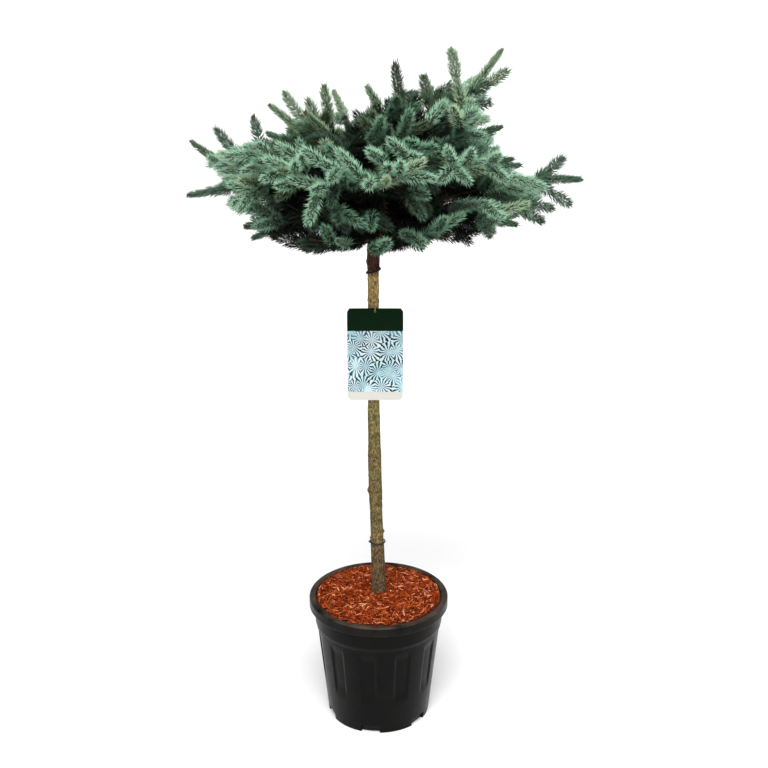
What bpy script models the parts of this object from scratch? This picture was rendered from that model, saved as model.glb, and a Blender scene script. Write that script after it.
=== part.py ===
"""Potted blue spruce, grafted as a small standard, in a black nursery pot.

Metres, +Z up. The origin is the middle of the pot's underside, -Y is the front.
The pot holds potting soil under a layer of bark mulch. One straight stem stands
in it, flat cut at the soil and whole to its tip inside the crown. Boughs leave
the stem in two tiers, with one more near the top. Each carries one mass of twigs
clad in needle sprays, and the other upper masses sit on the stem itself.
"""

import math
import random
from collections import namedtuple

import bmesh
import bpy
import numpy as np

# Clearance between neighbouring solids
GAP = 0.0003

# Edges that turn by more than this stay sharp: on moulded and on grown pieces
MOULDED_EDGE = math.radians(25)
GROWN_EDGE = math.radians(50)

# Pot
POT_HEIGHT = 0.260
POT_BASE_RADIUS = 0.1033
POT_TAPER = 0.108
POT_WALL = 0.0020
POT_FLOOR = 0.0030
COLLAR_RADIUS = 0.1285
COLLAR_BOTTOM = 0.196
COLLAR_SLOPE = 0.6
LIP_RADIUS = 0.140
LIP_DEPTH = 0.0195
LIP_THICKNESS = 0.0022
LIP_EDGE = 0.0009
FLUTES = 11
FLUTE_DEPTH = 0.0028
FLUTE_BOTTOM = 0.068
FLUTE_TOP = 0.194
FLUTE_FADE = 0.012
FLUTE_HALF_WIDTH = math.radians(9.8)
FLUTE_FLANK = math.radians(6.5)
FLUTE_TURN = math.radians(-42.3)
FEET = 6
NOTCH_WIDTH = 0.037
NOTCH_HEIGHT = 0.016
NOTCH_TURN = math.radians(-9.2)
NOTCH_DEPTH = 0.024
NOTCH_NARROWING = 0.9
POT_SIDES = 55

# Fill
SOIL_TOP = 0.234
SOIL_SIDES = 30
SOIL_SLOPE = 0.006
MULCH_TOP = 0.2582
MULCH_DOME = 0.0075
MULCH_SIDES = 30
MULCH_RINGS = (1.0, 0.78, 0.5, 0.0)
MULCH_ROUGHNESS = 0.0015

# Stem: height, x, y and radius where its outline changes
STEM = (
    (0.2343, 0.000, 0.000, 0.0180),
    (0.250, 0.000, 0.000, 0.0156),
    (0.275, 0.000, 0.000, 0.0142),
    (0.335, -0.001, 0.000, 0.0140),
    (0.377, -0.002, 0.000, 0.0130),
    (0.430, -0.004, 0.001, 0.0124),
    (0.490, -0.006, 0.001, 0.0131),
    (0.545, -0.007, 0.001, 0.0133),
    (0.600, -0.008, 0.001, 0.0122),
    (0.680, -0.009, 0.001, 0.0113),
    (0.870, -0.009, 0.001, 0.0103),
    (0.938, -0.0085, 0.000, 0.0106),
    (0.965, -0.008, 0.000, 0.0128),
    (1.010, -0.007, 0.000, 0.0120),
    (1.060, -0.006, 0.000, 0.0098),
    (1.110, -0.005, 0.000, 0.0076),
    (1.150, -0.002, 0.000, 0.0060),
    (1.205, 0.016, 0.000, 0.0040),
)
STEM_SIDES = 12

# Ties: height and thickness of each band
TIES = (("upper_tie", 0.930, 0.0032), ("lower_tie", 0.377, 0.0026))
TIE_SIDES = 14
TIE_FACES = 5

# Care label and its string
LABEL_WIDTH = 0.105
LABEL_HEIGHT = 0.181
LABEL_THICKNESS = 0.0008
LABEL_CORNER = 0.006
CORNER_POINTS = 4
LABEL_TOP = 0.8615
LABEL_X = -0.0055
LABEL_FRONT = -0.0130
HOLE_RADIUS = 0.0028
HOLE_DROP = 0.0065
HOLE_SIDES = 12
STRING_RADIUS = 0.0006
STRING_SIDES = 4
STRING_BACK_POINTS = 12
STRING_RISE = 0.012

# Limbs. Azimuth in degrees from +X towards +Y; reach, height of the tip and height
# of the start on the stem; arch, the rise of the middle over a straight line; and
# the bough's share of the limb, of which the rest is the mass's own stem.
Limb = namedtuple("Limb", "name azimuth reach tip start arch share")
LIMB_TABLE = (
    ("far_right", 0, 0.372, 1.098, 1.014, 0.030, 0.28),
    ("right_front_low", -36, 0.290, 1.050, 0.999, 0.025, 0.26),
    ("front_right_low", -69, 0.265, 1.048, 0.984, -0.004, 0.24),
    ("front_low", -104, 0.262, 1.040, 0.999, -0.010, 0.24),
    ("left_front_low", -140, 0.290, 1.050, 1.014, 0.010, 0.26),
    ("left_low", 190, 0.340, 1.080, 0.984, 0.045, 0.28),
    ("left_under", 160, 0.255, 0.972, 1.014, 0.020, 0.26),
    ("back_left_low", 122, 0.295, 1.025, 0.999, 0.025, 0.26),
    ("back_low", 84, 0.280, 1.035, 0.984, 0.030, 0.26),
    ("right_back_low", 42, 0.270, 0.990, 0.999, 0.030, 0.30),
    ("right", -18, 0.246, 1.146, 1.045, 0.018, 0.26),
    ("front_right", -53, 0.285, 1.165, 1.060, 0.015, 0.26),
    ("front", -87, 0.310, 1.150, 1.030, 0.015, 0.26),
    ("front_left", -121, 0.300, 1.155, 1.045, 0.015, 0.26),
    ("left_front", -155, 0.285, 1.120, 1.060, 0.015, 0.26),
    ("left", 176, 0.342, 1.165, 1.030, -0.032, 0.30),
    ("left_back", 142, 0.270, 1.160, 1.045, 0.015, 0.26),
    ("back_left", 106, 0.295, 1.155, 1.060, 0.010, 0.26),
    ("back_right", 68, 0.300, 1.150, 1.030, 0.015, 0.26),
    ("right_back", 26, 0.302, 1.104, 1.060, 0.010, 0.26),
    ("top_right", 12, 0.226, 1.322, 1.090, -0.020, 0.26),
    ("upper_right", -34, 0.250, 1.209, 1.086, 0.014, 0.00),
    ("upper_left", 168, 0.200, 1.226, 1.084, 0.000, 0.00),
    ("upper_front", -84, 0.195, 1.215, 1.094, 0.005, 0.00),
    ("upper_front_left", -138, 0.165, 1.230, 1.102, 0.000, 0.00),
    ("upper_back_left", 118, 0.180, 1.240, 1.096, 0.000, 0.00),
    ("upper_back_right", 58, 0.190, 1.245, 1.104, 0.000, 0.00),
    ("top", -12, 0.150, 1.235, 1.138, -0.005, 0.00),
    ("top_left", 200, 0.060, 1.200, 1.136, 0.000, 0.00),
    ("leader", 180, 0.019, 1.262, 1.205, 0.000, 0.00),
)
LIMBS = [Limb(*row) for row in LIMB_TABLE]
BOUGH_RADIUS = 0.0050
TWIG_RADIUS = 0.0028
TWIG_TIP_RADIUS = 0.0013
BOUGH_SIDES = 6
BOUGH_RINGS = 4
TWIG_SIDES = 4
TWIG_END = 0.4
STEM_STRETCHES = 23
LIMB_STEP = 0.01
UPRIGHT = 0.2

# Growth of a mass
NEEDLE_REACH = 0.0180
YEAR_GROWTH = 0.062
MOST_YEARS = 3
BARE_STARTS = (0.024, 0.034, 0.044, 0.054, 0.064)
ROOT = 0.010
WHORL = ((0, 1.00), (180, 1.00), (90, 0.85), (270, 0.80))
ROLL_SWING = 22
SPLAY = (42, 58)
SHOOT_LENGTHS = (0.078, 0.066)
LENGTH_SWING = (0.82, 1.15)
YEARLY_DROP = 0.85
LIFT = 0.12
SWAY = 0.1
STRAIGHTENING = 0.25
SHORTER = (1.0, 0.8, 0.62)
OWN_SPACING = 0.0245
OUTER_SHARE = 0.55
ROOM_BELOW = 0.022
ROOM_ABOVE = 0.040
CROWN_TOP = 1.338
CROWN_BOTTOM = 0.950
ROOM_BEYOND = 0.004
SEED = 11

# Outstanding shoots: the mass, the fork of its own stem that each leaves, and its tip.
# Each sags by a share of its length at the middle, where it forks.
OUTER_SHOOTS = (
    ("left", 1, -0.292, 0.030, 1.184),
    ("left", 1, -0.226, 0.050, 1.203),
    ("upper_left", 1, -0.170, 0.062, 1.245),
    ("upper_left", 1, -0.123, 0.000, 1.238),
    ("upper_left", 1, -0.095, 0.000, 1.262),
    ("top", 1, 0.030, 0.000, 1.300),
    ("top", 2, 0.080, 0.000, 1.280),
    ("top", 3, 0.126, -0.030, 1.333),
    ("top", 3, 0.193, -0.050, 1.239),
    ("top_right", 2, 0.229, 0.018, 1.288),
    ("far_right", 2, 0.332, 0.000, 1.136),
    ("far_right", 2, 0.349, 0.000, 1.054),
    ("far_right", 1, 0.317, -0.010, 1.047),
    ("far_right", 1, 0.304, 0.020, 1.018),
)
OUTER_SAG = 0.06

# The crown's body within its outstanding shoots, as seen from the front at a
# distance and height, drawn on the upright plane y = 0: x, lowest and highest
VIEW_DISTANCE = 2.2
VIEW_HEIGHT = 1.46
BODY_OUTLINE = (
    (-0.310, 1.105, 1.150),
    (-0.272, 1.050, 1.155),
    (-0.218, 1.000, 1.172),
    (-0.180, 0.974, 1.172),
    (-0.150, 0.970, 1.205),
    (-0.085, 0.966, 1.218),
    (-0.055, 0.972, 1.200),
    (-0.035, 0.972, 1.226),
    (0.020, 0.964, 1.245),
    (0.075, 0.960, 1.262),
    (0.130, 0.974, 1.277),
    (0.185, 0.968, 1.290),
    (0.205, 0.984, 1.172),
    (0.240, 1.008, 1.112),
    (0.270, 1.025, 1.107),
    (0.300, 1.075, 1.107),
)
BODY_MARGIN = 0.003

# Needle spray: places of its rings along the shoot, and how far needles stand out
SPRAY_RINGS = ((0.18, 0.90), (0.42, 1.00), (0.66, 1.00), (0.88, 0.75))
NEEDLE_SWING = (0.84, 0.99)
SPRAY_CORE = 0.0080
SPRAY_LEAN = 0.0080
LEAN_ROOM = 0.6
SPRAY_SIDES = 3

AX, AY, AZ = np.eye(3)
Shoot = namedtuple("Shoot", "mass root start end")


# ---------------------------------------------------------------- small tools


def unit(v):
    """A vector's direction, of length one."""
    return v / np.linalg.norm(v)


def clear_scene():
    """Removes every object that the file opens with."""
    for ob in list(bpy.data.objects):
        bpy.data.objects.remove(ob, do_unlink=True)


def paint(ob, colour, roughness):
    """Gives an object a Principled material of its own, named after it."""
    mat = bpy.data.materials.new(ob.name)
    mat.use_nodes = True
    shader = mat.node_tree.nodes["Principled BSDF"]
    shader.inputs["Base Color"].default_value = (*colour, 1.0)
    shader.inputs["Roughness"].default_value = roughness
    shader.inputs["Metallic"].default_value = 0.0
    mat.diffuse_color = (*colour, 1.0)
    ob.data.materials.append(mat)
    return ob


def make_object(name, verts, faces):
    """A new mesh object in the scene, its faces turned outwards."""
    mesh = bpy.data.meshes.new(name)
    mesh.from_pydata([tuple(map(float, v)) for v in verts], [], faces)
    bm = bmesh.new()
    bm.from_mesh(mesh)
    bmesh.ops.recalc_face_normals(bm, faces=bm.faces)
    bm.to_mesh(mesh)
    bm.free()
    ob = bpy.data.objects.new(name, mesh)
    bpy.context.scene.collection.objects.link(ob)
    return ob


def skin(rings, closed=False):
    """Points and faces of a skin over equal rings, capped unless it closes on itself."""
    count, sides = len(rings), len(rings[0])
    verts = [p for ring in rings for p in ring]
    faces = []
    for i in range(count if closed else count - 1):
        a, b = i * sides, (i + 1) % count * sides
        for j in range(sides):
            k = (j + 1) % sides
            faces.append((a + j, a + k, b + k, b + j))
    if not closed:
        faces.append(tuple(range(sides)))
        faces.append(tuple(range((count - 1) * sides, count * sides)))
    return verts, faces


def circle(centre, side, up, radius, sides):
    """Points of a ring round a centre, in the plane of two unit vectors."""
    turns = [2 * math.pi * j / sides for j in range(sides)]
    return [centre + radius * (math.cos(a) * side + math.sin(a) * up) for a in turns]


def apply_modifiers(ob):
    """Replaces an object's mesh by the one that its modifiers give, bare of materials."""
    depsgraph = bpy.context.evaluated_depsgraph_get()
    mesh = bpy.data.meshes.new_from_object(ob.evaluated_get(depsgraph))
    mesh.materials.clear()
    ob.modifiers.clear()
    ob.data = mesh
    mesh.name = ob.name


def union(name, pieces):
    """Joins closed bodies into one by a single Boolean on a collection."""
    group = bpy.data.collections.new(name + "_parts")
    base, rest = pieces[0], pieces[1:]
    for ob in rest:
        bpy.context.scene.collection.objects.unlink(ob)
        group.objects.link(ob)
    base.name = name
    joint = base.modifiers.new("union", "BOOLEAN")
    joint.operation = "UNION"
    joint.operand_type = "COLLECTION"
    joint.collection = group
    joint.solver = "MANIFOLD"
    apply_modifiers(base)
    for ob in rest:
        bpy.data.objects.remove(ob, do_unlink=True)
    bpy.data.collections.remove(group)
    return base


def cut(ob, cutters):
    """Cuts closed bodies out of an object, applies the cuts and removes the cutters."""
    for cutter in cutters:
        cutter.hide_render = True
        cutter.display_type = "WIRE"
        hole = ob.modifiers.new("cut", "BOOLEAN")
        hole.operation = "DIFFERENCE"
        hole.object = cutter
    apply_modifiers(ob)
    for cutter in cutters:
        bpy.data.objects.remove(cutter, do_unlink=True)


# ------------------------------------------------------------------------ pot


def flute_depth(z):
    """Depth of the flutes at a height; they fade out at both ends."""
    fade = min(z - FLUTE_BOTTOM, FLUTE_TOP - z) / FLUTE_FADE
    return FLUTE_DEPTH * min(1.0, max(0.0, fade))


def flute_share(angle):
    """Share of the flutes' depth at an angle: 1 in a flute, 0 on a land."""
    period = 2 * math.pi / FLUTES
    off = (angle - FLUTE_TURN + period / 2) % period - period / 2
    return min(1.0, max(0.0, (FLUTE_HALF_WIDTH - abs(off)) / FLUTE_FLANK))


def body_radius(z):
    """Outer radius of the pot's cone."""
    return POT_BASE_RADIUS + POT_TAPER * z


def pot_ring(radius, z, depth=0.0):
    """One ring of the pot; angle 0 is the front and it grows towards +X."""
    ring = []
    for j in range(POT_SIDES):
        angle = FLUTE_TURN + 2 * math.pi * (j + 0.5) / POT_SIDES
        r = radius - depth * flute_share(angle)
        ring.append((r * math.sin(angle), -r * math.cos(angle), z))
    return ring


def make_pot():
    """Moulded pot: fluted cone, collar, turned-down lip and a notched foot."""
    heights = (FLUTE_BOTTOM, FLUTE_BOTTOM + FLUTE_FADE, FLUTE_TOP - FLUTE_FADE, FLUTE_TOP)
    collar_foot = COLLAR_BOTTOM + (COLLAR_RADIUS - body_radius(COLLAR_BOTTOM)) * COLLAR_SLOPE
    inside = COLLAR_RADIUS - POT_WALL
    lip_under = POT_HEIGHT - LIP_THICKNESS
    skirt = LIP_RADIUS - LIP_THICKNESS
    rings = [pot_ring(POT_BASE_RADIUS, 0.0)]
    rings += [pot_ring(body_radius(z), z, flute_depth(z)) for z in heights]
    rings += [
        pot_ring(body_radius(COLLAR_BOTTOM), COLLAR_BOTTOM),
        pot_ring(COLLAR_RADIUS, collar_foot),
        pot_ring(COLLAR_RADIUS, lip_under),
        pot_ring(skirt, lip_under),
        pot_ring(skirt, POT_HEIGHT - LIP_DEPTH),
        pot_ring(LIP_RADIUS, POT_HEIGHT - LIP_DEPTH),
        pot_ring(LIP_RADIUS, POT_HEIGHT - LIP_EDGE),
        pot_ring(LIP_RADIUS - LIP_EDGE, POT_HEIGHT),
        pot_ring(inside, POT_HEIGHT),
        pot_ring(inside, collar_foot),
        pot_ring(body_radius(COLLAR_BOTTOM) - POT_WALL - FLUTE_DEPTH, COLLAR_BOTTOM),
        pot_ring(body_radius(POT_FLOOR) - POT_WALL - FLUTE_DEPTH, POT_FLOOR),
    ]
    pot = make_object("pot", *skin(rings))
    cut(pot, [make_notch(NOTCH_TURN + 2 * math.pi * i / FEET) for i in range(FEET)])
    pot.data.shade_smooth()
    pot.data.set_sharp_from_angle(angle=MOULDED_EDGE)
    return paint(pot, (0.012, 0.013, 0.014), 0.45)


def make_notch(angle):
    """Cutter of one drainage notch: a box across the foot of the wall."""
    out = np.array([math.sin(angle), -math.cos(angle), 0.0])
    side = np.array([math.cos(angle), math.sin(angle), 0.0])
    middle = out * (POT_BASE_RADIUS - POT_WALL)
    rings = []
    for z, narrow in ((-NOTCH_DEPTH, 1.0), (NOTCH_HEIGHT, NOTCH_NARROWING)):
        half = side * narrow * NOTCH_WIDTH / 2
        deep = out * NOTCH_DEPTH
        ring = [middle - half - deep, middle + half - deep, middle + half + deep, middle - half + deep]
        rings.append([p + [0, 0, z] for p in ring])
    return make_object("notch_cutter", *skin(rings))


# ----------------------------------------------------------------------- fill


def make_soil():
    """The soil: a cone inside the wall, drawn in over the notches, level on top."""
    clear = POT_WALL + FLUTE_DEPTH + 2 * GAP
    floor = POT_FLOOR + GAP
    outline = (
        (POT_BASE_RADIUS - POT_WALL - NOTCH_DEPTH - 2 * GAP, floor),
        (body_radius(NOTCH_HEIGHT) - clear, NOTCH_HEIGHT + SOIL_SLOPE),
        (body_radius(COLLAR_BOTTOM) - clear, COLLAR_BOTTOM),
        (body_radius(COLLAR_BOTTOM) - clear, SOIL_TOP),
    )
    rings = [circle(np.array([0.0, 0.0, z]), AX, AY, r, SOIL_SIDES) for r, z in outline]
    soil = make_object("potting_soil", *skin(rings))
    soil.data.shade_smooth()
    soil.data.set_sharp_from_angle(angle=MOULDED_EDGE)
    return paint(soil, (0.030, 0.018, 0.011), 0.95)


def make_mulch():
    """Bark mulch: a low dome with a rough top, holed for the foot of the stem."""
    dice = random.Random(SEED)
    foot = SOIL_TOP + GAP
    outer = COLLAR_RADIUS - POT_WALL - 2 * GAP
    hole = stem_at(foot)[1] + 2 * GAP
    rings = [circle(AZ * foot, AX, AY, outer, MULCH_SIDES)]
    for share in MULCH_RINGS:
        height = MULCH_TOP + MULCH_DOME * (1 - share**2)
        bump = MULCH_ROUGHNESS if share else 0.0
        ring = circle(AZ * height, AX, AY, hole + (outer - hole) * share, MULCH_SIDES)
        rings.append([p + AZ * dice.uniform(-bump, bump) for p in ring])
    rings.append(circle(AZ * foot, AX, AY, hole, MULCH_SIDES))
    mulch = make_object("bark_mulch", *skin(rings, closed=True))
    return paint(mulch, (0.255, 0.055, 0.016), 0.9)


# ----------------------------------------------------------------------- stem


def stem_at(z):
    """Centre and radius of the stem at a height."""
    heights, xs, ys, radii = zip(*STEM)
    centre = np.array([np.interp(z, heights, xs), np.interp(z, heights, ys), z])
    return centre, float(np.interp(z, heights, radii))


def make_stem():
    """The stem: level rings from its flat cut at the soil to its tip in the crown."""
    rings = []
    for z, x, y, radius in STEM:
        rings.append(circle(np.array([x, y, z]), AX, AY, radius, STEM_SIDES))
    stem = make_object("trunk", *skin(rings))
    stem.data.shade_smooth()
    stem.data.set_sharp_from_angle(angle=GROWN_EDGE)
    return paint(stem, (0.160, 0.105, 0.060), 0.85)


def make_tie(name, z, thickness):
    """A snug band round the stem, of round section."""
    centre, radius = stem_at(z)
    radius += thickness / 2 + 2 * GAP
    rings = []
    for i in range(TIE_SIDES):
        a = 2 * math.pi * i / TIE_SIDES
        out = math.cos(a) * AX + math.sin(a) * AY
        rings.append(circle(centre + out * radius, out, AZ, thickness / 2, TIE_FACES))
    tie = make_object(name, *skin(rings, closed=True))
    tie.data.shade_smooth()
    return paint(tie, (0.010, 0.010, 0.011), 0.6)


# ---------------------------------------------------------------------- label


def corner(cx, cz, start):
    """Points of one rounded corner of the card, a quarter turn from a start angle."""
    angles = np.radians(np.linspace(start, start + 90, CORNER_POINTS))
    return [(cx + LABEL_CORNER * math.cos(a), cz + LABEL_CORNER * math.sin(a)) for a in angles]


def make_label():
    """The care label: a card with round corners and a hole for its string."""
    half = LABEL_WIDTH / 2 - LABEL_CORNER
    low, high = LABEL_TOP - LABEL_HEIGHT + LABEL_CORNER, LABEL_TOP - LABEL_CORNER
    outline = corner(LABEL_X + half, high, 0) + corner(LABEL_X - half, high, 90)
    outline += corner(LABEL_X - half, low, 180) + corner(LABEL_X + half, low, 270)
    faces = (LABEL_FRONT, LABEL_FRONT + LABEL_THICKNESS)
    label = make_object("care_label", *skin([[np.array([x, y, z]) for x, z in outline] for y in faces]))
    middle = np.array([LABEL_X, LABEL_FRONT, LABEL_TOP - HOLE_DROP])
    ends = (middle - AY * LABEL_CORNER, middle + AY * LABEL_CORNER)
    drill = make_object("label_drill", *skin([circle(p, AX, AZ, HOLE_RADIUS, HOLE_SIDES) for p in ends]))
    cut(label, [drill])
    return paint(label, (0.012, 0.045, 0.020), 0.4)


def string_path():
    """A closed loop: round the back of the stem, through the hole, over the top edge."""
    centre, radius = stem_at(LABEL_TOP + STRING_RISE)
    radius += STRING_RADIUS + GAP
    turns = np.radians(np.linspace(222, -20, STRING_BACK_POINTS))
    path = [centre + radius * (math.cos(a) * AX + math.sin(a) * AY) for a in turns]
    reach = STRING_RADIUS + GAP
    behind = LABEL_FRONT + LABEL_THICKNESS + reach
    ahead = LABEL_FRONT - reach
    hole = LABEL_TOP - HOLE_DROP + HOLE_RADIUS - reach - GAP
    # x from the card's middle, y, and z of the front half
    front = (
        (0.0075, -0.0092, LABEL_TOP + 0.0090),
        (0.0025, -0.0118, LABEL_TOP + 0.0050),
        (0.0000, ahead + 0.0002, LABEL_TOP + 0.0016),
        (0.0000, ahead, LABEL_TOP - 0.0008),
        (0.0000, ahead, hole + 0.0004),
        (0.0000, LABEL_FRONT + LABEL_THICKNESS / 2, hole),
        (0.0000, behind, hole + 0.0004),
        (-0.0015, behind + 0.0004, LABEL_TOP + 0.0010),
        (-0.0085, -0.0108, LABEL_TOP + 0.0080),
    )
    return path + [np.array([LABEL_X + x, y, z]) for x, y, z in front]


def make_string():
    """The label's string as one closed loop of cord."""
    path = string_path()
    side = AZ
    rings = []
    for before, point, after in zip(path[-1:] + path[:-1], path, path[1:] + path[:1]):
        ahead = unit(after - before)
        side = unit(side - ahead * (side @ ahead))
        rings.append(circle(point, side, np.cross(ahead, side), STRING_RADIUS, STRING_SIDES))
    string = make_object("label_string", *skin(rings, closed=True))
    string.data.shade_smooth()
    return paint(string, (0.62, 0.52, 0.36), 0.8)


# ---------------------------------------------------------------------- limbs


def heading(limb):
    """Level unit vector along a limb, and the level unit vector across it."""
    angle = math.radians(limb.azimuth)
    out = math.cos(angle) * AX + math.sin(angle) * AY
    return out, np.cross(AZ, out)


def limb_point(limb, t):
    """Point at share t of a limb, from the stem's surface to the tip of its mass."""
    centre, radius = stem_at(limb.start)
    out, _ = heading(limb)
    if limb.start >= STEM[-1][0]:
        foot = centre + AZ * GAP
    else:
        seat = max(stem_at(limb.start - BOUGH_RADIUS)[1], radius)
        foot = centre + out * (seat + GAP)
    tip = out * limb.reach + AZ * limb.tip
    return foot + (tip - foot) * t + AZ * 4 * limb.arch * t * (1 - t)


def limb_way(limb, t):
    """Direction of a limb at share t."""
    return unit(limb_point(limb, t + LIMB_STEP) - limb_point(limb, t - LIMB_STEP))


def make_bough(limb):
    """One tapering limb from the stem to the place where it enters its mass."""
    _, across = heading(limb)
    rings = []
    for share in np.linspace(0.0, 1.0, BOUGH_RINGS):
        t = share * limb.share
        up = np.cross(limb_way(limb, t), across) if share else AZ
        radius = BOUGH_RADIUS + (TWIG_RADIUS - BOUGH_RADIUS) * share
        rings.append(circle(limb_point(limb, t), across, up, radius, BOUGH_SIDES))
    bough = make_object(limb.name + "_bough", *skin(rings))
    bough.data.shade_smooth()
    bough.data.set_sharp_from_angle(angle=GROWN_EDGE)
    return paint(bough, (0.090, 0.045, 0.026), 0.85)


# --------------------------------------------------------------------- growth


def segment_gaps(p, q, starts, ends):
    """Least distance from the line p-q to each of many lines."""
    d1, d2, r = q - p, ends - starts, p - starts
    a, e = float(d1 @ d1), (d2 * d2).sum(1)
    f, c, b = (d2 * r).sum(1), r @ d1, d2 @ d1
    den = a * e - b * b
    s = np.where(den > 1e-14, np.clip((b * f - c * e) / np.maximum(den, 1e-14), 0, 1), 0.0)
    t = np.clip((b * s + f) / e, 0, 1)
    s = np.clip((b * t - c) / a, 0, 1)
    return np.linalg.norm(p + s[:, None] * d1 - starts - t[:, None] * d2, axis=1)


def frame_of(ahead):
    """Side vector, level unless the shoot is nearly upright, and upper vector of a shoot."""
    side = np.cross(ahead, AZ)
    if np.linalg.norm(side) < UPRIGHT:
        side = np.cross(ahead, AY)
    side = unit(side)
    return side, np.cross(side, ahead)


def limb_lines():
    """Stem and boughs as straight stretches: starts, ends and radii."""
    lines = []
    heights = np.linspace(STEM[0][0], STEM[-1][0], STEM_STRETCHES + 1)
    for low, high in zip(heights, heights[1:]):
        radius = max(stem_at(low)[1], stem_at(high)[1])
        lines.append((stem_at(low)[0], stem_at(high)[0], radius))
    for limb in LIMBS:
        shares = np.linspace(0.0, limb.share, BOUGH_RINGS)
        if limb.share:
            points = [limb_point(limb, t) for t in shares]
            lines += [(a, b, BOUGH_RADIUS) for a, b in zip(points, points[1:])]
    return tuple(np.array(column) for column in zip(*lines))


def leaders(limb):
    """Points of a mass's own stem, one for each year's growth."""
    length = np.linalg.norm(limb_point(limb, 1.0) - limb_point(limb, limb.share))
    years = max(1, min(MOST_YEARS, round(length / YEAR_GROWTH)))
    return [limb_point(limb, t) for t in np.linspace(limb.share, 1.0, years + 1)]


def grow_crown():
    """All shoots of all masses. Each year every tip sends on a leader and a whorl.

    A mass's stem stays bare until it is clear of its neighbours. A shoot that
    comes too near another mass, a limb or its own mass's older shoots, or that
    leaves the heights of its mass or the crown's body, is tried shorter and then
    skipped with all that would grow from it.
    """
    lines = limb_lines()
    shoots, tips, stems = [], [], {}
    for m, limb in enumerate(LIMBS):
        nodes = leaders(limb)
        way = unit(nodes[1] - nodes[0])
        nodes[0] = needle_start(shoots, lines, m, nodes[0], nodes[1])
        for i, (a, b) in enumerate(zip(nodes, nodes[1:])):
            shoots.append(Shoot(m, a - way * ROOT, a, b))
            tips.append((m, a, way, unit(b - a), 1, min(2, len(nodes) - 1 - i)))
            way = unit(b - a)
        stems[limb.name] = m, nodes
    for name, fork, *tip in OUTER_SHOOTS:
        tips.append(grow_outer(shoots, *stems[name], fork, np.array(tip)))
    dice = [random.Random(SEED + 7 * m) for m in range(len(LIMBS))]
    while tips:
        later = []
        for tip in tips:
            later += grow_whorl(shoots, lines, dice[tip[0]], *tip)
        tips = later
    return shoots


def grow_outer(shoots, m, nodes, fork, tip):
    """An outstanding shoot of two years' growth, and the fork at its middle."""
    foot = nodes[fork]
    older = unit(foot - nodes[fork - 1]) if fork else unit(nodes[1] - foot)
    middle = (foot + tip) / 2 - AZ * OUTER_SAG * np.linalg.norm(tip - foot)
    way = unit(middle - foot)
    shoots.append(Shoot(m, foot - older * ROOT, foot, middle))
    shoots.append(Shoot(m, middle - way * ROOT, middle, tip))
    return m, middle, way, unit(tip - middle), 2, 1


def clears(shoots, lines, m, a, b):
    """Whether a shoot a-b of mass m keeps off the limbs and the other masses."""
    if (segment_gaps(a, b, lines[0], lines[1]) - lines[2]).min() < NEEDLE_REACH + 2 * GAP:
        return False
    others = [s for s in shoots if s.mass != m]
    if not others:
        return True
    starts, ends = (np.array(p) for p in zip(*((s.start, s.end) for s in others)))
    return segment_gaps(a, b, starts, ends).min() >= 2 * (NEEDLE_REACH + GAP)


def needle_start(shoots, lines, m, foot, node):
    """Where needles begin on a mass's stem."""
    way = unit(node - foot)
    for bare in BARE_STARTS:
        if clears(shoots, lines, m, foot + way * bare, node):
            break
    return foot + way * bare


def grow_whorl(shoots, lines, dice, m, point, older, ahead, order, years):
    """Grows one whorl of side shoots, and gives the tips that fork next."""
    side, up = frame_of(ahead)
    forks = []
    for turn, size in WHORL:
        roll = math.radians(turn + dice.uniform(-ROLL_SWING, ROLL_SWING))
        splay = math.radians(dice.uniform(*SPLAY))
        length = SHOOT_LENGTHS[order - 1] * size * dice.uniform(*LENGTH_SWING)
        across = math.cos(roll) * side + math.sin(roll) * up
        way = unit(math.cos(splay) * ahead + math.sin(splay) * across + AZ * LIFT)
        foot, below = point, older
        for year in range(years):
            tip = first_fit(shoots, lines, m, foot, way, length)
            if tip is None:
                break
            shoots.append(Shoot(m, foot - below * ROOT, foot, tip))
            foot, below = tip, way
            length *= YEARLY_DROP
            if year < years - 1:
                forks.append((m, foot, way, way, order + 1, years - 1 - year))
            sway = dice.uniform(-SWAY, SWAY) * AX + dice.uniform(-SWAY, SWAY) * AY
            way = unit(way + STRAIGHTENING * ahead + sway + dice.uniform(0, 2 * SWAY) * AZ)
    return forks


def in_body(tip):
    """Whether a tip shows within the body's outline.

    The line of sight through the tip meets the plane y = 0 at share
    distance / (distance + y) of its way from the eye.
    """
    share = VIEW_DISTANCE / (VIEW_DISTANCE + tip[1])
    x, z = tip[0] * share, VIEW_HEIGHT + (tip[2] - VIEW_HEIGHT) * share
    across, lowest, highest = zip(*BODY_OUTLINE)
    if not across[0] < x < across[-1]:
        return False
    return np.interp(x, across, lowest) + BODY_MARGIN < z < np.interp(x, across, highest) - BODY_MARGIN


def first_fit(shoots, lines, m, foot, way, length):
    """Tip of the longest shoot that keeps its distances, or None."""
    limb = LIMBS[m]
    lowest = max(min(limb.tip, limb.start) - ROOM_BELOW, CROWN_BOTTOM)
    highest = min(limb.tip + ROOM_ABOVE, CROWN_TOP)
    own = [s for s in shoots if s.mass == m]
    starts, ends = (np.array(p) for p in zip(*((s.start, s.end) for s in own)))
    for share in SHORTER:
        tip = foot + way * length * share
        if not lowest < tip[2] < highest or math.hypot(tip[0], tip[1]) > limb.reach + ROOM_BEYOND:
            continue
        if not in_body(tip):
            continue
        outer = foot + (tip - foot) * OUTER_SHARE
        if segment_gaps(outer, tip, starts, ends).min() < OWN_SPACING:
            continue
        if clears(shoots, lines, m, foot, tip):
            return tip
    return None


# --------------------------------------------------------------------- masses


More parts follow.
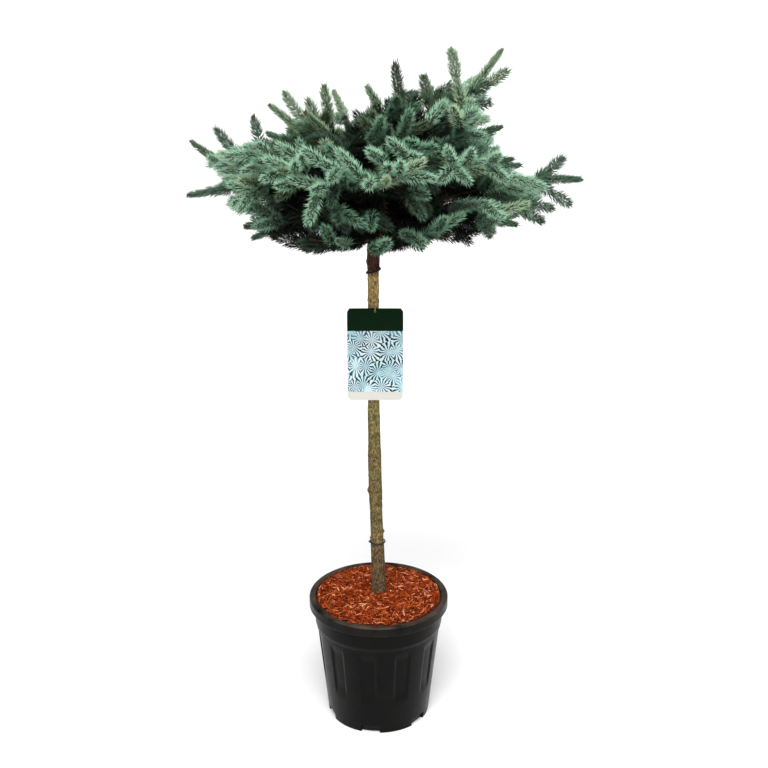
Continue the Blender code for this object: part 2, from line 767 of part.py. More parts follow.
def make_spray(name, shoot, dice):
    """A slim blade along a shoot, with every other corner drawn out as needles.

    The corners of each ring lie at even turns. Those that stand out also lean
    forward, so the outline is toothed towards the shoot's tip.
    """
    ahead = unit(shoot.end - shoot.start)
    length = np.linalg.norm(shoot.end - shoot.start)
    side, up = frame_of(ahead)
    turn = dice.uniform(0, 2 * math.pi)
    rings = []
    for i, (share, reach) in enumerate(SPRAY_RINGS):
        ring = []
        for j in range(SPRAY_SIDES):
            angle = turn + 2 * math.pi * j / SPRAY_SIDES
            out = math.cos(angle) * side + math.sin(angle) * up
            stands = (i + j) % 2 == 0
            radius = NEEDLE_REACH * reach * dice.uniform(*NEEDLE_SWING) if stands else SPRAY_CORE
            lean = min(SPRAY_LEAN, (1 - share) * length * LEAN_ROOM) if stands else 0.0
            ring.append(shoot.start + ahead * (share * length + lean) + out * radius)
        rings.append(ring)
    verts = [p for ring in rings for p in ring] + [shoot.root, shoot.end]
    root, bud = len(verts) - 2, len(verts) - 1
    last = (len(rings) - 1) * SPRAY_SIDES
    faces = []
    for j in range(SPRAY_SIDES):
        k = (j + 1) % SPRAY_SIDES
        faces.append((root, k, j))
        faces.append((bud, last + j, last + k))
        for i in range(len(rings) - 1):
            low, high = i * SPRAY_SIDES, (i + 1) * SPRAY_SIDES
            a, b, c, d = low + j, low + k, high + k, high + j
            # the fold runs between the two inner corners, so the teeth stand apart
            faces += [(a, b, c), (a, c, d)] if (i + j) % 2 else [(a, b, d), (b, c, d)]
    return make_object(name, verts, faces)


def make_twig(name, limb):
    """A mass's own stem, from its bough or the trunk to its outermost fork."""
    nodes = leaders(limb)
    out, across = heading(limb)
    points = [nodes[0], (nodes[0] + nodes[1]) / 2] + nodes[1:-1]
    points.append(nodes[-2] + (nodes[-1] - nodes[-2]) * TWIG_END)
    ahead = unit(nodes[1] - nodes[0])
    rings = []
    for share, point in zip(np.linspace(0.0, 1.0, len(points)), points):
        radius = TWIG_RADIUS + (TWIG_TIP_RADIUS - TWIG_RADIUS) * share
        up = np.cross(ahead, across)
        if share == 0.0 and limb.share:
            start_way = limb_way(limb, limb.share)
            point, up = point + start_way * GAP, np.cross(start_way, across)
        elif share == 0.0:
            up = -out if limb.start >= STEM[-1][0] else AZ
        rings.append(circle(point, across, up, radius, TWIG_SIDES))
    return make_object(name, *skin(rings))


def make_mass(m, limb, shoots):
    """One mass: its twig and every spray, joined in one union."""
    dice = random.Random(SEED + 1000 + m)
    name = limb.name + "_foliage"
    pieces = [make_twig(name, limb)]
    pieces += [make_spray(name + "_spray", shoot, dice) for shoot in shoots if shoot.mass == m]
    return paint(union(name, pieces), (0.100, 0.215, 0.180), 0.6)


def main():
    """Builds every node of the part."""
    clear_scene()
    make_pot()
    make_soil()
    make_mulch()
    make_stem()
    for name, z, thickness in TIES:
        make_tie(name, z, thickness)
    make_label()
    make_string()
    shoots = grow_crown()
    for m, limb in enumerate(LIMBS):
        if limb.share:
            make_bough(limb)
        make_mass(m, limb, shoots)


main()
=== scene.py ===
"""The look of a potted blue spruce, grafted as a small standard.

Metres, +Z up, the origin under the middle of the pot, -Y the front. Every piece
is a surface worked out with numpy as whole arrays, and stands in its CAD solid's
place. The crown grows by the rule that shaped the solids, carried on to finer
twigs, and every needle is a closed three-sided spindle.
"""

import math
import random
from collections import namedtuple
from itertools import product

import bpy
import numpy as np
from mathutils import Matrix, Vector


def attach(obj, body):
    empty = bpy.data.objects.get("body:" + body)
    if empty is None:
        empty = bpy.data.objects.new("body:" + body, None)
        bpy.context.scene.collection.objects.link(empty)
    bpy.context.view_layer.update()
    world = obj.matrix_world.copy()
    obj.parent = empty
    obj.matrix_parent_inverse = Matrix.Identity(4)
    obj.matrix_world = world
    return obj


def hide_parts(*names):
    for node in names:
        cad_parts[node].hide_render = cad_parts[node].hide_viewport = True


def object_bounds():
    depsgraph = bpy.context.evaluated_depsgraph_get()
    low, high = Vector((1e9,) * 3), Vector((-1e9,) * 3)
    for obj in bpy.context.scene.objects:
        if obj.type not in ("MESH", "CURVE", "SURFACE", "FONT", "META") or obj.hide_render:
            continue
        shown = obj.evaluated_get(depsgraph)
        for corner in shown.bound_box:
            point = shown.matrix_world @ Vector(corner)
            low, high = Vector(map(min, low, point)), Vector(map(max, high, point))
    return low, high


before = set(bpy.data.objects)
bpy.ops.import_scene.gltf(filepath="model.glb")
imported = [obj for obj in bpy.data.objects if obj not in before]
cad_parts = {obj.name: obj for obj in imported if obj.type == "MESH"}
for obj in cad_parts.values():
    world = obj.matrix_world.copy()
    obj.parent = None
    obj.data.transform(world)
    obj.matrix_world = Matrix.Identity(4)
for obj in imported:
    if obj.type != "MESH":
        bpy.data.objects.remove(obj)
solid_box = [[float(c) for c in corner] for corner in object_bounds()]

# ---- sizes

# Camera
CAMERA_PLACE = (0.011, -2.2, 1.46)
CAMERA_PITCH = math.radians(71.14)
CAMERA_LENS = 57.1
CAMERA_SENSOR = 36.0

GAP = 0.0003

# Pot
POT_HEIGHT = 0.260
POT_BASE_RADIUS = 0.1033
POT_TAPER = 0.108
POT_WALL = 0.0020
POT_FLOOR = 0.0030
COLLAR_RADIUS = 0.1285
COLLAR_BOTTOM = 0.196
COLLAR_SLOPE = 0.6
LIP_RADIUS = 0.140
LIP_DEPTH = 0.0195
LIP_THICKNESS = 0.0022
LIP_ROUND = 0.0030
FLUTES = 11
FLUTE_DEPTH = 0.0028
FLUTE_BOTTOM = 0.068
FLUTE_TOP = 0.194
FLUTE_FADE = 0.024
FLUTE_RUN_OUT = 0.030
FLUTE_HALF_WIDTH = math.radians(8.2)
FLUTE_FLANK = math.radians(2.4)
FLUTE_TURN = math.radians(-42.3)
FEET = 6
NOTCH_WIDTH = 0.037
NOTCH_HEIGHT = 0.016
NOTCH_TURN = math.radians(-9.2)
NOTCH_DEPTH = 0.024

# Fill
SOIL_TOP = 0.234
MULCH_TOP = 0.2584
MULCH_DOME = 0.0075
BED_HOLE = 0.0150
BED_RADIUS = COLLAR_RADIUS - POT_WALL - 2 * GAP

# Stem: height, x, y and radius where its outline changes
STEM = np.array((
    (0.2343, 0.000, 0.000, 0.0180), (0.250, 0.000, 0.000, 0.0156), (0.275, 0.000, 0.000, 0.0142),
    (0.335, -0.001, 0.000, 0.0140), (0.377, -0.002, 0.000, 0.0130), (0.430, -0.004, 0.001, 0.0124),
    (0.490, -0.006, 0.001, 0.0131), (0.545, -0.007, 0.001, 0.0133), (0.600, -0.008, 0.001, 0.0122),
    (0.680, -0.009, 0.001, 0.0113), (0.870, -0.009, 0.001, 0.0103), (0.938, -0.0085, 0.000, 0.0106),
    (0.965, -0.008, 0.000, 0.0128), (1.010, -0.007, 0.000, 0.0120), (1.060, -0.006, 0.000, 0.0098),
    (1.110, -0.005, 0.000, 0.0076), (1.150, -0.002, 0.000, 0.0060), (1.205, 0.016, 0.000, 0.0040),
))

# Ties: height, thickness and slope of each band, and its knot's foot and tip off the stem's line
TIES = (
    ("upper_tie", 0.930, 0.0032, 0.30, (0.0050, -0.0100, 0.0042), (0.0125, -0.0070, 0.0085)),
    ("lower_tie", 0.377, 0.0026, 0.0, (-0.0135, -0.0040, -0.0012), (-0.0175, -0.0030, 0.0018)),
)

# Care label and its string
LABEL_WIDTH = 0.105
LABEL_HEIGHT = 0.181
LABEL_TOP = 0.8615
LABEL_X = -0.0055
LABEL_FRONT = -0.0130
LABEL_BACK = -0.0122
HOLE_RADIUS = 0.0028
HOLE_DROP = 0.0065
STRING_RADIUS = 0.0006
STRING_RISE = 0.012
LABEL_SQUARE = 28

# Its print: where the head ends and the foot begins, bursts to a metre, the rays in
# one and how far noise bends them, and the shades of the gaps and of the rays
LABEL_HEAD = 0.8175
LABEL_FOOT = 0.6975
BURSTS = 38.0
RAYS = 14.0
RAY_SHAKE = 9.0
LABEL_GAPS = (0.46, "#9dbcc5"), (0.57, "#5d8b99"), (0.66, "#27566a"), (0.78, "#112a34")
LABEL_RAYS = (0.0, "#b4cdd6"), (0.5, "#cdd9da"), (1.0, "#a2c3c6")

# Limbs. Azimuth in degrees from +X towards +Y; reach, height of the tip and height
# of the start on the stem; arch, the rise of the middle over a straight line; and
# the bough's share of the limb, of which the rest is the mass's own stem.
Limb = namedtuple("Limb", "name azimuth reach tip start arch share")
LIMB_TABLE = (
    ("far_right", 0, 0.372, 1.098, 1.014, 0.030, 0.28),
    ("right_front_low", -36, 0.290, 1.050, 0.999, 0.025, 0.26),
    ("front_right_low", -69, 0.265, 1.048, 0.984, -0.004, 0.24),
    ("front_low", -104, 0.262, 1.040, 0.999, -0.010, 0.24),
    ("left_front_low", -140, 0.290, 1.050, 1.014, 0.010, 0.26),
    ("left_low", 190, 0.340, 1.080, 0.984, 0.045, 0.28),
    ("left_under", 160, 0.255, 0.972, 1.014, 0.020, 0.26),
    ("back_left_low", 122, 0.295, 1.025, 0.999, 0.025, 0.26),
    ("back_low", 84, 0.280, 1.035, 0.984, 0.030, 0.26),
    ("right_back_low", 42, 0.270, 0.990, 0.999, 0.030, 0.30),
    ("right", -18, 0.246, 1.146, 1.045, 0.018, 0.26),
    ("front_right", -53, 0.285, 1.165, 1.060, 0.015, 0.26),
    ("front", -87, 0.310, 1.150, 1.030, 0.015, 0.26),
    ("front_left", -121, 0.300, 1.155, 1.045, 0.015, 0.26),
    ("left_front", -155, 0.285, 1.120, 1.060, 0.015, 0.26),
    ("left", 176, 0.342, 1.165, 1.030, -0.032, 0.30),
    ("left_back", 142, 0.270, 1.160, 1.045, 0.015, 0.26),
    ("back_left", 106, 0.295, 1.155, 1.060, 0.010, 0.26),
    ("back_right", 68, 0.300, 1.150, 1.030, 0.015, 0.26),
    ("right_back", 26, 0.302, 1.104, 1.060, 0.010, 0.26),
    ("top_right", 12, 0.226, 1.322, 1.090, -0.020, 0.26),
    ("upper_right", -34, 0.250, 1.209, 1.086, 0.014, 0.00),
    ("upper_left", 168, 0.200, 1.226, 1.084, 0.000, 0.00),
    ("upper_front", -84, 0.195, 1.215, 1.094, 0.005, 0.00),
    ("upper_front_left", -138, 0.165, 1.230, 1.102, 0.000, 0.00),
    ("upper_back_left", 118, 0.180, 1.240, 1.096, 0.000, 0.00),
    ("upper_back_right", 58, 0.190, 1.245, 1.104, 0.000, 0.00),
    ("top", -12, 0.150, 1.235, 1.138, -0.005, 0.00),
    ("top_left", 200, 0.060, 1.200, 1.136, 0.000, 0.00),
    ("leader", 180, 0.019, 1.262, 1.205, 0.000, 0.00),
)
LIMBS = [Limb(*row) for row in LIMB_TABLE]
BOUGH_RADIUS = 0.0050
TWIG_RADIUS = 0.0028
BOUGH_RINGS = 4
STEM_STRETCHES = 23
LIMB_STEP = 0.01
UPRIGHT = 0.2

# Growth of a mass, as in the solids
NEEDLE_REACH = 0.0180
YEAR_GROWTH = 0.062
MOST_YEARS = 3
BARE_STARTS = (0.024, 0.034, 0.044, 0.054, 0.064)
WHORL = ((0, 1.00), (180, 1.00), (90, 0.85), (270, 0.80))
ROLL_SWING = 22
SPLAY = (42, 58)
SHOOT_LENGTHS = (0.078, 0.066)
LENGTH_SWING = (0.82, 1.15)
YEARLY_DROP = 0.85
LIFT = 0.12
SWAY = 0.1
STRAIGHTENING = 0.25
SHORTER = (1.0, 0.8, 0.62)
OWN_SPACING = 0.0245
OUTER_SHARE = 0.55
ROOM_BELOW = 0.022
ROOM_ABOVE = 0.040
CROWN_TOP = 1.338
CROWN_BOTTOM = 0.950
ROOM_BEYOND = 0.004
SEED = 11

# Outstanding shoots: the mass, the fork of its own stem that each leaves, and its tip.
# Each sags by a share of its length at the middle, where it forks.
OUTER_SHOOTS = (
    ("left", 1, -0.292, 0.030, 1.184), ("left", 1, -0.226, 0.050, 1.203),
    ("upper_left", 1, -0.170, 0.062, 1.245), ("upper_left", 1, -0.123, 0.000, 1.238),
    ("upper_left", 1, -0.095, 0.000, 1.262), ("top", 1, 0.030, 0.000, 1.300),
    ("top", 2, 0.080, 0.000, 1.280), ("top", 3, 0.126, -0.030, 1.333), ("top", 3, 0.193, -0.050, 1.239),
    ("top_right", 2, 0.229, 0.018, 1.288), ("far_right", 2, 0.332, 0.000, 1.136),
    ("far_right", 2, 0.349, 0.000, 1.054), ("far_right", 1, 0.317, -0.010, 1.047),
    ("far_right", 1, 0.304, 0.020, 1.018),
)
OUTER_SAG = 0.06

# The crown's body within its outstanding shoots, as seen from the front at a
# distance and height, drawn on the upright plane y = 0: x, lowest and highest
VIEW_DISTANCE = 2.2
VIEW_HEIGHT = 1.46
BODY_OUTLINE = (
    (-0.310, 1.105, 1.150), (-0.272, 1.050, 1.155), (-0.218, 1.000, 1.172), (-0.180, 0.974, 1.172),
    (-0.150, 0.970, 1.205), (-0.085, 0.966, 1.218), (-0.055, 0.972, 1.200), (-0.035, 0.972, 1.226),
    (0.020, 0.964, 1.245), (0.075, 0.960, 1.262), (0.130, 0.974, 1.277), (0.185, 0.968, 1.290),
    (0.205, 0.984, 1.172), (0.240, 1.008, 1.112), (0.270, 1.025, 1.107), (0.300, 1.075, 1.107),
)
BODY_MARGIN = 0.003

# Finer twigs: where they leave an older shoot, their length and their room
FINE_PLACES = (0.40, 0.72, 1.00)
FINE_LENGTHS = (0.056, 0.042)
FINE_SPACING = 0.0165
FINE_MARGIN = 0.009
FINE_OUTWARD = 0.55
FINE_RISE = 0.15
FINE_TURN = 45
FINE_ROOM = 0.0080
INNER_PLACES = (0.30, 0.45, 0.60, 0.75, 0.95, 1.15, 1.35)
INNER_LENGTH = 0.052
INNER_SPACING = 0.0120
INNER_HEIGHTS = (0.990, 1.010, 1.032, 1.056, 1.082, 1.108, 1.132, 1.156, 1.180)
INNER_TURN = 90
INNER_SPLAY = (58, 78)
FINE_SEED = 5

# Needles, with angles in degrees and leans in radians, twigs and buds
NEEDLES_PER_METRE = 3200
NEEDLE_LENGTH = 0.0175
NEEDLE_RADIUS = 0.00080
NEEDLE_SWING = (0.78, 1.12)
RADIUS_SWING = (0.85, 1.15)
NEEDLE_LIFT = 0.10
NEEDLE_TURN = 137.508
NEEDLE_SPLAY = 62
SLENDER_CLOSING = 30
BLUNT_CLOSING = 40
TURN_SHAKE = 12
SPLAY_SHAKE = 8
WIDEST = 0.4
POINT_LEAN = 0.10
RING_LEAN = 0.16
TWIG_SKIN = 0.0008
TWIG_RADII = (0.0030, 0.0022, 0.0015, 0.0011)
TWIG_RINGS = (0.0, 0.35, 0.7, 0.97)
TWIG_TAPER = 0.45
TWIG_ROOT = 0.004
STALK_OVERLAP = 0.02
STALK_SHARE = 0.3
BOX_ROOM = 0.0024
TIP_ROOM = 0.006
BUD_LENGTH = 0.0075
BUD_RADIUS = 0.0021
BUD_ROOM = 0.002
PIECE_FACES = 180_000
# young twigs take a dull olive like a shaded needle base rather than their own tan: painted shade from the
# needles round them
TWIG_BARKS = (
    ("young_spruce_twig", "#3f3a24", 0.8),
    ("old_spruce_twig", "#2f2318", 0.85),
    ("pale_spruce_twig", "#5a4a2c", 0.8),
)
BUD_SCALES = ("spruce_bud_scale", "#6e5138"), ("dark_spruce_bud_scale", "#4c3a2b")

# Blue-green needles carry a pale wax. Each spray takes one pair: its needles' lower half, darker as painted
# shade within the spray, and the paler outer half. The steps run from the crown's inside out as painted
# shade, darkest where the sprays are most hidden, each step in a cooler and a warmer pair, and at the end
# the pair of old dead needles and of the husks round a winter bud.
NEEDLE_SHADES = (
    ("#030403", "#060907"), ("#030403", "#060906"),
    ("#050806", "#0a110c"), ("#060805", "#0b110a"),
    ("#0b120d", "#16241a"), ("#0c120b", "#182415"),
    ("#162219", "#2d4433"), ("#182216", "#31442c"),
    ("#233327", "#46664e"), ("#273324", "#50664a"),
    ("#34483a", "#6a9175"), ("#3a4837", "#768f6e"),
    ("#475b4d", "#8fb699"), ("#4c5a47", "#98b190"),
    ("#241910", "#42301f"),
)
DEAD_SHADE = 14
DEAD_FULLER = 0.45
DEAD_ABOVE = 1.06
DEAD_SHARE = 0.35
HUSK_SHARE = 0.90
HUSK_CHANCE = 0.8
HUSK_REACH = 0.5
STANDING_STEPS = (3, 4, 5)
STANDING_FULLER = 1.4
UPRIGHT_ABOVE = 1.19
UPRIGHT_SLOPE = 0.5
WARM_SHARES = (0.85, 0.12)

# What covers a shoot from the light, and how much of the crown is in each step of
# shade, from the most hidden sprays to the most open
OPEN_RISE = 0.45
COVER_REACH = 0.06
HANGING_COVER = 0.5
INNER_COVER = 1.5
LOW_COVER = 6.0
LOW_BELOW = 1.07
COVER_NOISE = 0.22
SHADE_SHARES = (0.30, 0.13, 0.10, 0.10, 0.10, 0.13, 0.14)

# Hollows between the boughs that little light reaches: x, y, z and radius
HOLLOWS = (
    (-0.011, -0.080, 1.067, 0.036), (-0.149, -0.080, 1.054, 0.036), (-0.003, -0.060, 1.150, 0.028),
    (0.162, -0.080, 1.038, 0.034), (0.082, -0.080, 1.071, 0.026),
)
HOLLOW_DEPTH = 0.110
HOLLOW_SHARE = 0.60

# Bark: its relief, as ripples of a seed and cells up and round (scales, ridges, lumps
# and cracks), and knobs as height, turn in degrees, rise and spread
GRAFT_HEIGHT = 0.9300
GRAFT_ROUGHER = 1.3
STEM_EASE = 25
SCALE_RISE = 0.00022
RIDGE_RISE = 0.00030
LUMP_RISE = 0.00045
CRACK_DEPTH = 0.0016
BOUGH_RISE = 0.00045
BARK_RIPPLES = (21, 190, 14), (22, 60, 9), (23, 24, 5), (24, 110, 11)
RIBS = 5
RIB_RISE = 0.0014
RIB_FADE = 0.014
KNOB_RADIUS = 0.011
KNOBS = (
    (0.488, 180, 0.0030, 0.0060), (0.399, 0, 0.0030, 0.0035), (0.385, 180, 0.0018, 0.0030),
    (0.946, 180, 0.0024, 0.0050), (0.640, 20, 0.0009, 0.0050), (0.560, -60, 0.0008, 0.0060),
)

# Colours of the bark by its grain: stock, foot, algae and above the graft. Then by height, as half of a
# factor: darker above the lower tie, and lighter up towards the graft, partly the paler young bark and
# partly painted light where the crown shades the stem
BARK_LAYERS = (
    ((0.34, "#33281a"), (0.50, "#75613c"), (0.64, "#a18a5a")),
    ((0.34, "#221a10"), (0.50, "#56442b"), (0.66, "#7e694a")),
    ((0.34, "#34331a"), (0.50, "#6c6a38"), (0.66, "#96914c")),
    ((0.34, "#0b0503"), (0.50, "#27140b"), (0.66, "#4c2c1e")),
)
BARK_AGES_AND_LIGHT = (
    (0.31, "#b5b5b5"), (0.43, "#979797"), (0.55, "#9e9e9e"),
    (0.65, "#afafaf"), (0.80, "#cfcfcf"), (0.90, "#efefef"),
)
ALGAE_SHARE = 0.75

# Shredded pine bark, dyed by its own resin: rust red, with pale fresh faces
CHIPS = 5600
CHIP_TURN = 2.399963
CHIP_LENGTHS = (0.005, 0.022)
CHIP_WIDTHS = (0.0007, 0.0016)
CHIP_DEPTHS = (0.0004, 0.0009)
CHIP_TILTS = (0.22, 0.5)
CHIP_RINGS = (-0.34, 0.30)
CHIP_BORDER = 0.011
CHIP_SHADES = ("#481102", "#651d04", "#802b08", "#974010", "#ae5a2b", "#cc8a66")
CHIP_SHARES = (0.10, 0.22, 0.28, 0.22, 0.12, 0.06)

# Stage, and its suns: tilt from straight down, turn round the plant (0 from the front),
# spread and power
FLOOR_HALF = 90
SUNS = (
    ("high_front_sun", 40, -6, 36, 3.5),
    ("top_sun", 12, 10, 60, 1.6),
    ("right_sun", 55, 50, 40, 0.5),
)

AX, AY, AZ = np.eye(3)
Shoot = namedtuple("Shoot", "mass start end order")


# ---- small tools


def linear(code):
    """sRGB hex to linear RGBA: x / 12.92 up to 0.04045, above it ((x + 0.055) / 1.055) ^ 2.4."""
    parts = [int(code[i : i + 2], 16) / 255 for i in (1, 3, 5)]
    return [p / 12.92 if p <= 0.04045 else ((p + 0.055) / 1.055) ** 2.4 for p in parts] + [1.0]


def node(tree, kind, *values, out=0, stops=(), **named):
    """Adds a shader node with its settings and links, and gives its output or a tuple of them.

    Bare values fill its first inputs. A name with a capital is an input, with _ for
    a space, and one without is a setting. A ramp's stops are places and hex colours.
    """
    made = tree.nodes.new("ShaderNode" + kind)
    for name in [n for n in named if n[0].islower()]:
        setattr(made, name, named.pop(name))
    sockets = {s.identifier.replace(" ", "_"): s for s in made.inputs}
    for socket, value in [*zip(made.inputs, values), *((sockets[n], v) for n, v in named.items())]:
        if isinstance(value, bpy.types.NodeSocket):
            tree.links.new(value, socket)
        else:
            socket.default_value = value
    for i, (place, code) in enumerate(stops):
        stop = made.color_ramp.elements[i] if i < 2 else made.color_ramp.elements.new(place)
        stop.position = place
        stop.color = linear(code)
    return [made.outputs[o] for o in out] if isinstance(out, tuple) else made.outputs[out]


def finish(name, code, **values):
    """A material named for what the real one is: a Principled shader, its colour and values."""
    material = bpy.data.materials.new(name)
    material.use_nodes = True
    material.diffuse_color = linear(code)
    coat(material, Base_Color=linear(code), **values)
    return material


def coat(material, **values):
    """Gives the shader's inputs values or links, by names with _ for a space."""
    tree = material.node_tree
    for name, value in values.items():
        socket = tree.nodes["Principled BSDF"].inputs[name.replace("_", " ")]
        if isinstance(value, bpy.types.NodeSocket):
            tree.links.new(value, socket)
        else:
            socket.default_value = value


def unit(v):
    """Vectors turned to length one, along the last axis."""
    return v / np.linalg.norm(v, axis=-1, keepdims=True)


def even_turns(count):
    """So many even turns of a circle, in radians."""
    return 2 * np.pi * np.arange(count) / count


def turned(r, angle, z, x=0, y=0):
    """Points round an upright line at x, y: x + r cos angle, y + r sin angle, z."""
    return np.stack(np.broadcast_arrays(x + r * np.cos(angle), y + r * np.sin(angle), z), -1)


def scaled(vectors, amounts):
    """Each vector times a row of amounts, its own or a shared one."""
    return vectors[:, None] * amounts[..., None]


def ease(x):
    """Smooth step: 3 t^2 - 2 t^3 with t held between 0 and 1."""
    t = np.clip(x, 0, 1)
    return t * t * (3 - 2 * t)


def grid(rows, columns, close_rows=False):
    """Four-cornered faces between neighbours on a grid of points, closed round its columns."""
    r = np.arange(rows if close_rows else rows - 1)[:, None]
    c = np.arange(columns)[None, :]
    after_r, after_c = (r + 1) % rows, (c + 1) % columns
    corners = (r * columns + c, r * columns + after_c, after_r * columns + after_c, after_r * columns + c)
    return np.stack(np.broadcast_arrays(*corners), -1).reshape(-1, 4)


def fan(pole, first, columns, swapped):
    """Triangles from a pole to a ring of points; swapped swaps which way they face."""
    c = np.arange(columns)
    a, b = first + c, first + (c + 1) % columns
    pair = (b, a) if swapped else (a, b)
    return np.stack([np.full(columns, pole), *pair], -1)


def closed(rows, columns):
    """Faces of a tube: its grid, and a fan at each end to the two poles numbered after it."""
    last = rows * columns
    ends = [fan(last, 0, columns, True), fan(last + 1, last - columns, columns, False)]
    return [grid(rows, columns), np.concatenate(ends)]


def piece(name, points, faces, materials, shades=0, *, slot, node_names=(), smooth=True):
    """A mesh object from arrays of points and faces, riding on the plant's one body."""
    mesh = bpy.data.meshes.new(name)
    mesh.vertices.add(len(points))
    mesh.vertices.foreach_set("co", np.ascontiguousarray(points, dtype=np.float32).ravel())
    corners = np.concatenate([f.ravel() for f in faces])
    sizes = np.concatenate([np.full(len(f), f.shape[1]) for f in faces])
    mesh.loops.add(len(corners))
    mesh.loops.foreach_set("vertex_index", corners.astype(np.int32))
    mesh.polygons.add(len(sizes))
    mesh.polygons.foreach_set("loop_start", (np.cumsum(sizes) - sizes).astype(np.int32))
    for material in materials:
        mesh.materials.append(material)
    mesh.polygons.foreach_set("material_index", np.broadcast_to(shades, len(sizes)).astype(np.int32))
    mesh.polygons.foreach_set("use_smooth", np.full(len(sizes), smooth))
    mesh.update(calc_edges=True)
    ob = bpy.data.objects.new(name, mesh)
    bpy.context.scene.collection.objects.link(ob)
    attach(ob, "root")
    if node_names:
        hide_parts(*node_names)


def ripple(seed, rows, columns, cells_up, cells_round):
    """Smooth noise from -1 to 1, closed round its columns: random cell corners blended by the ease."""
    corners = np.random.default_rng(seed).uniform(-1, 1, (cells_up + 2, cells_round))
    up, turn = np.linspace(0, cells_up, rows), np.arange(columns) * cells_round / columns
    i, j = up.astype(int), turn.astype(int)
    s, t = ease(up - i)[:, None], ease(turn - j)[None, :]
    k = (j + 1) % cells_round
    low = corners[i][:, j] * (1 - t) + corners[i][:, k] * t
    high = corners[i + 1][:, j] * (1 - t) + corners[i + 1][:, k] * t
    return low * (1 - s) + high * s


def ring_points(centres, radii, side, up, sides):
    """Points round centres: centre + radius (cos a * side + sin a * up) at even turns a."""
    angle = even_turns(sides)[:, None]
    around = np.cos(angle) * side[..., None, :] + np.sin(angle) * up[..., None, :]
    return centres[..., None, :] + radii[..., None, None] * around


def tubes(centres, side, up, radii, feet, tips, sides):
    """Many closed tubes with rings round centres[s, r]: points, four-cornered faces, end triangles."""
    count, rings = radii.shape
    skin = ring_points(centres, radii, side, up, sides)
    points = np.concatenate([skin.reshape(count, -1, 3), feet[:, None], tips[:, None]], axis=1)
    shift = (rings * sides + 2) * np.arange(count)[:, None, None]
    quads, ends = (f[None] + shift for f in closed(rings, sides))
    return points.reshape(-1, 3), quads.reshape(-1, 4), ends.reshape(-1, 3)


def per_face(shade, *faces):
    """The shade of each of many like pieces, repeated for all their faces."""
    return np.concatenate([np.repeat(shade, len(f) // len(shade)) for f in faces])


# ---- growth


def stem_at(z):
    """Centre and radius of the stem at a height."""
    heights, xs, ys, radii = STEM.T
    centre = np.array([np.interp(z, heights, xs), np.interp(z, heights, ys), z])
    return centre, float(np.interp(z, heights, radii))


def heading(limb):
    """Level unit vector along a limb, and the level unit vector across it."""
    angle = math.radians(limb.azimuth)
    out = math.cos(angle) * AX + math.sin(angle) * AY
    return out, np.cross(AZ, out)


def limb_point(limb, t):
    """Point at share t of a limb: a straight line with a rise of 4 arch t (1 - t) over it."""
    centre, radius = stem_at(limb.start)
    out, _ = heading(limb)
    if limb.start >= STEM[-1][0]:
        foot = centre + AZ * GAP
    else:
        seat = max(stem_at(limb.start - BOUGH_RADIUS)[1], radius)
        foot = centre + out * (seat + GAP)
    tip = out * limb.reach + AZ * limb.tip
    return foot + (tip - foot) * t + AZ * 4 * limb.arch * t * (1 - t)


def segment_gaps(p, q, starts, ends):
    """Least distance from the line p-q to each of many lines."""
    d1, d2, r = q - p, ends - starts, p - starts
    a, e = float(d1 @ d1), (d2 * d2).sum(1)
    f, c, b = (d2 * r).sum(1), r @ d1, d2 @ d1
    den = a * e - b * b
    s = np.where(den > 1e-14, np.clip((b * f - c * e) / np.maximum(den, 1e-14), 0, 1), 0.0)
    t = np.clip((b * s + f) / e, 0, 1)
    s = np.clip((b * t - c) / a, 0, 1)
    return np.linalg.norm(p + s[:, None] * d1 - starts - t[:, None] * d2, axis=1)


def frame_of(ahead):
    """Side vector, level unless the shoot is nearly upright, and upper vector of a shoot."""
    side = np.cross(ahead, AZ)
    if np.linalg.norm(side) < UPRIGHT:
        side = np.cross(ahead, AY)
    side = unit(side)
    return side, np.cross(side, ahead)


def lines_of(shoots):
    """Starts, ends, unit directions, side and upper vectors of many shoots."""
    start, end = ends_of(shoots)
    ahead = unit(end - start)
    return start, end, ahead, *(np.array(v) for v in zip(*(frame_of(way) for way in ahead)))


def ends_of(shoots):
    """Starts and ends of many shoots."""
    return tuple(np.array(p) for p in zip(*((s.start, s.end) for s in shoots)))


def limb_lines():
    """Stem and boughs as straight stretches: starts, ends and radii."""
    lines = []
    heights = np.linspace(STEM[0][0], STEM[-1][0], STEM_STRETCHES + 1)
    for low, high in zip(heights, heights[1:]):
        radius = max(stem_at(low)[1], stem_at(high)[1])
        lines.append((stem_at(low)[0], stem_at(high)[0], radius))
    for limb in LIMBS:
        if limb.share:
            points = [limb_point(limb, t) for t in np.linspace(0.0, limb.share, BOUGH_RINGS)]
            lines += [(a, b, BOUGH_RADIUS) for a, b in zip(points, points[1:])]
    return tuple(np.array(column) for column in zip(*lines))


def leaders(limb):
    """Points of a mass's own stem, one for each year's growth."""
    length = np.linalg.norm(limb_point(limb, 1.0) - limb_point(limb, limb.share))
    years = max(1, min(MOST_YEARS, round(length / YEAR_GROWTH)))
    return [limb_point(limb, t) for t in np.linspace(limb.share, 1.0, years + 1)]


def grow_crown(lines):
    """The shoots of all masses, as in the solids: each year every tip sends on a leader and a whorl."""
    shoots, tips, stems = [], [], {}
    for m, limb in enumerate(LIMBS):
        nodes = leaders(limb)
        nodes[0] = needle_start(shoots, lines, m, nodes[0], nodes[1])
        for i, (a, b) in enumerate(zip(nodes, nodes[1:])):
            shoots.append(Shoot(m, a, b, 0))
            tips.append((m, a, unit(b - a), 1, min(2, len(nodes) - 1 - i)))
        stems[limb.name] = m, nodes
    for name, fork, *tip in OUTER_SHOOTS:
        tips.append(grow_outer(shoots, *stems[name], fork, np.array(tip)))
    dice = [random.Random(SEED + 7 * m) for m in range(len(LIMBS))]
    while tips:
        tips = [fork for tip in tips for fork in grow_whorl(shoots, lines, dice[tip[0]], *tip)]
    return shoots


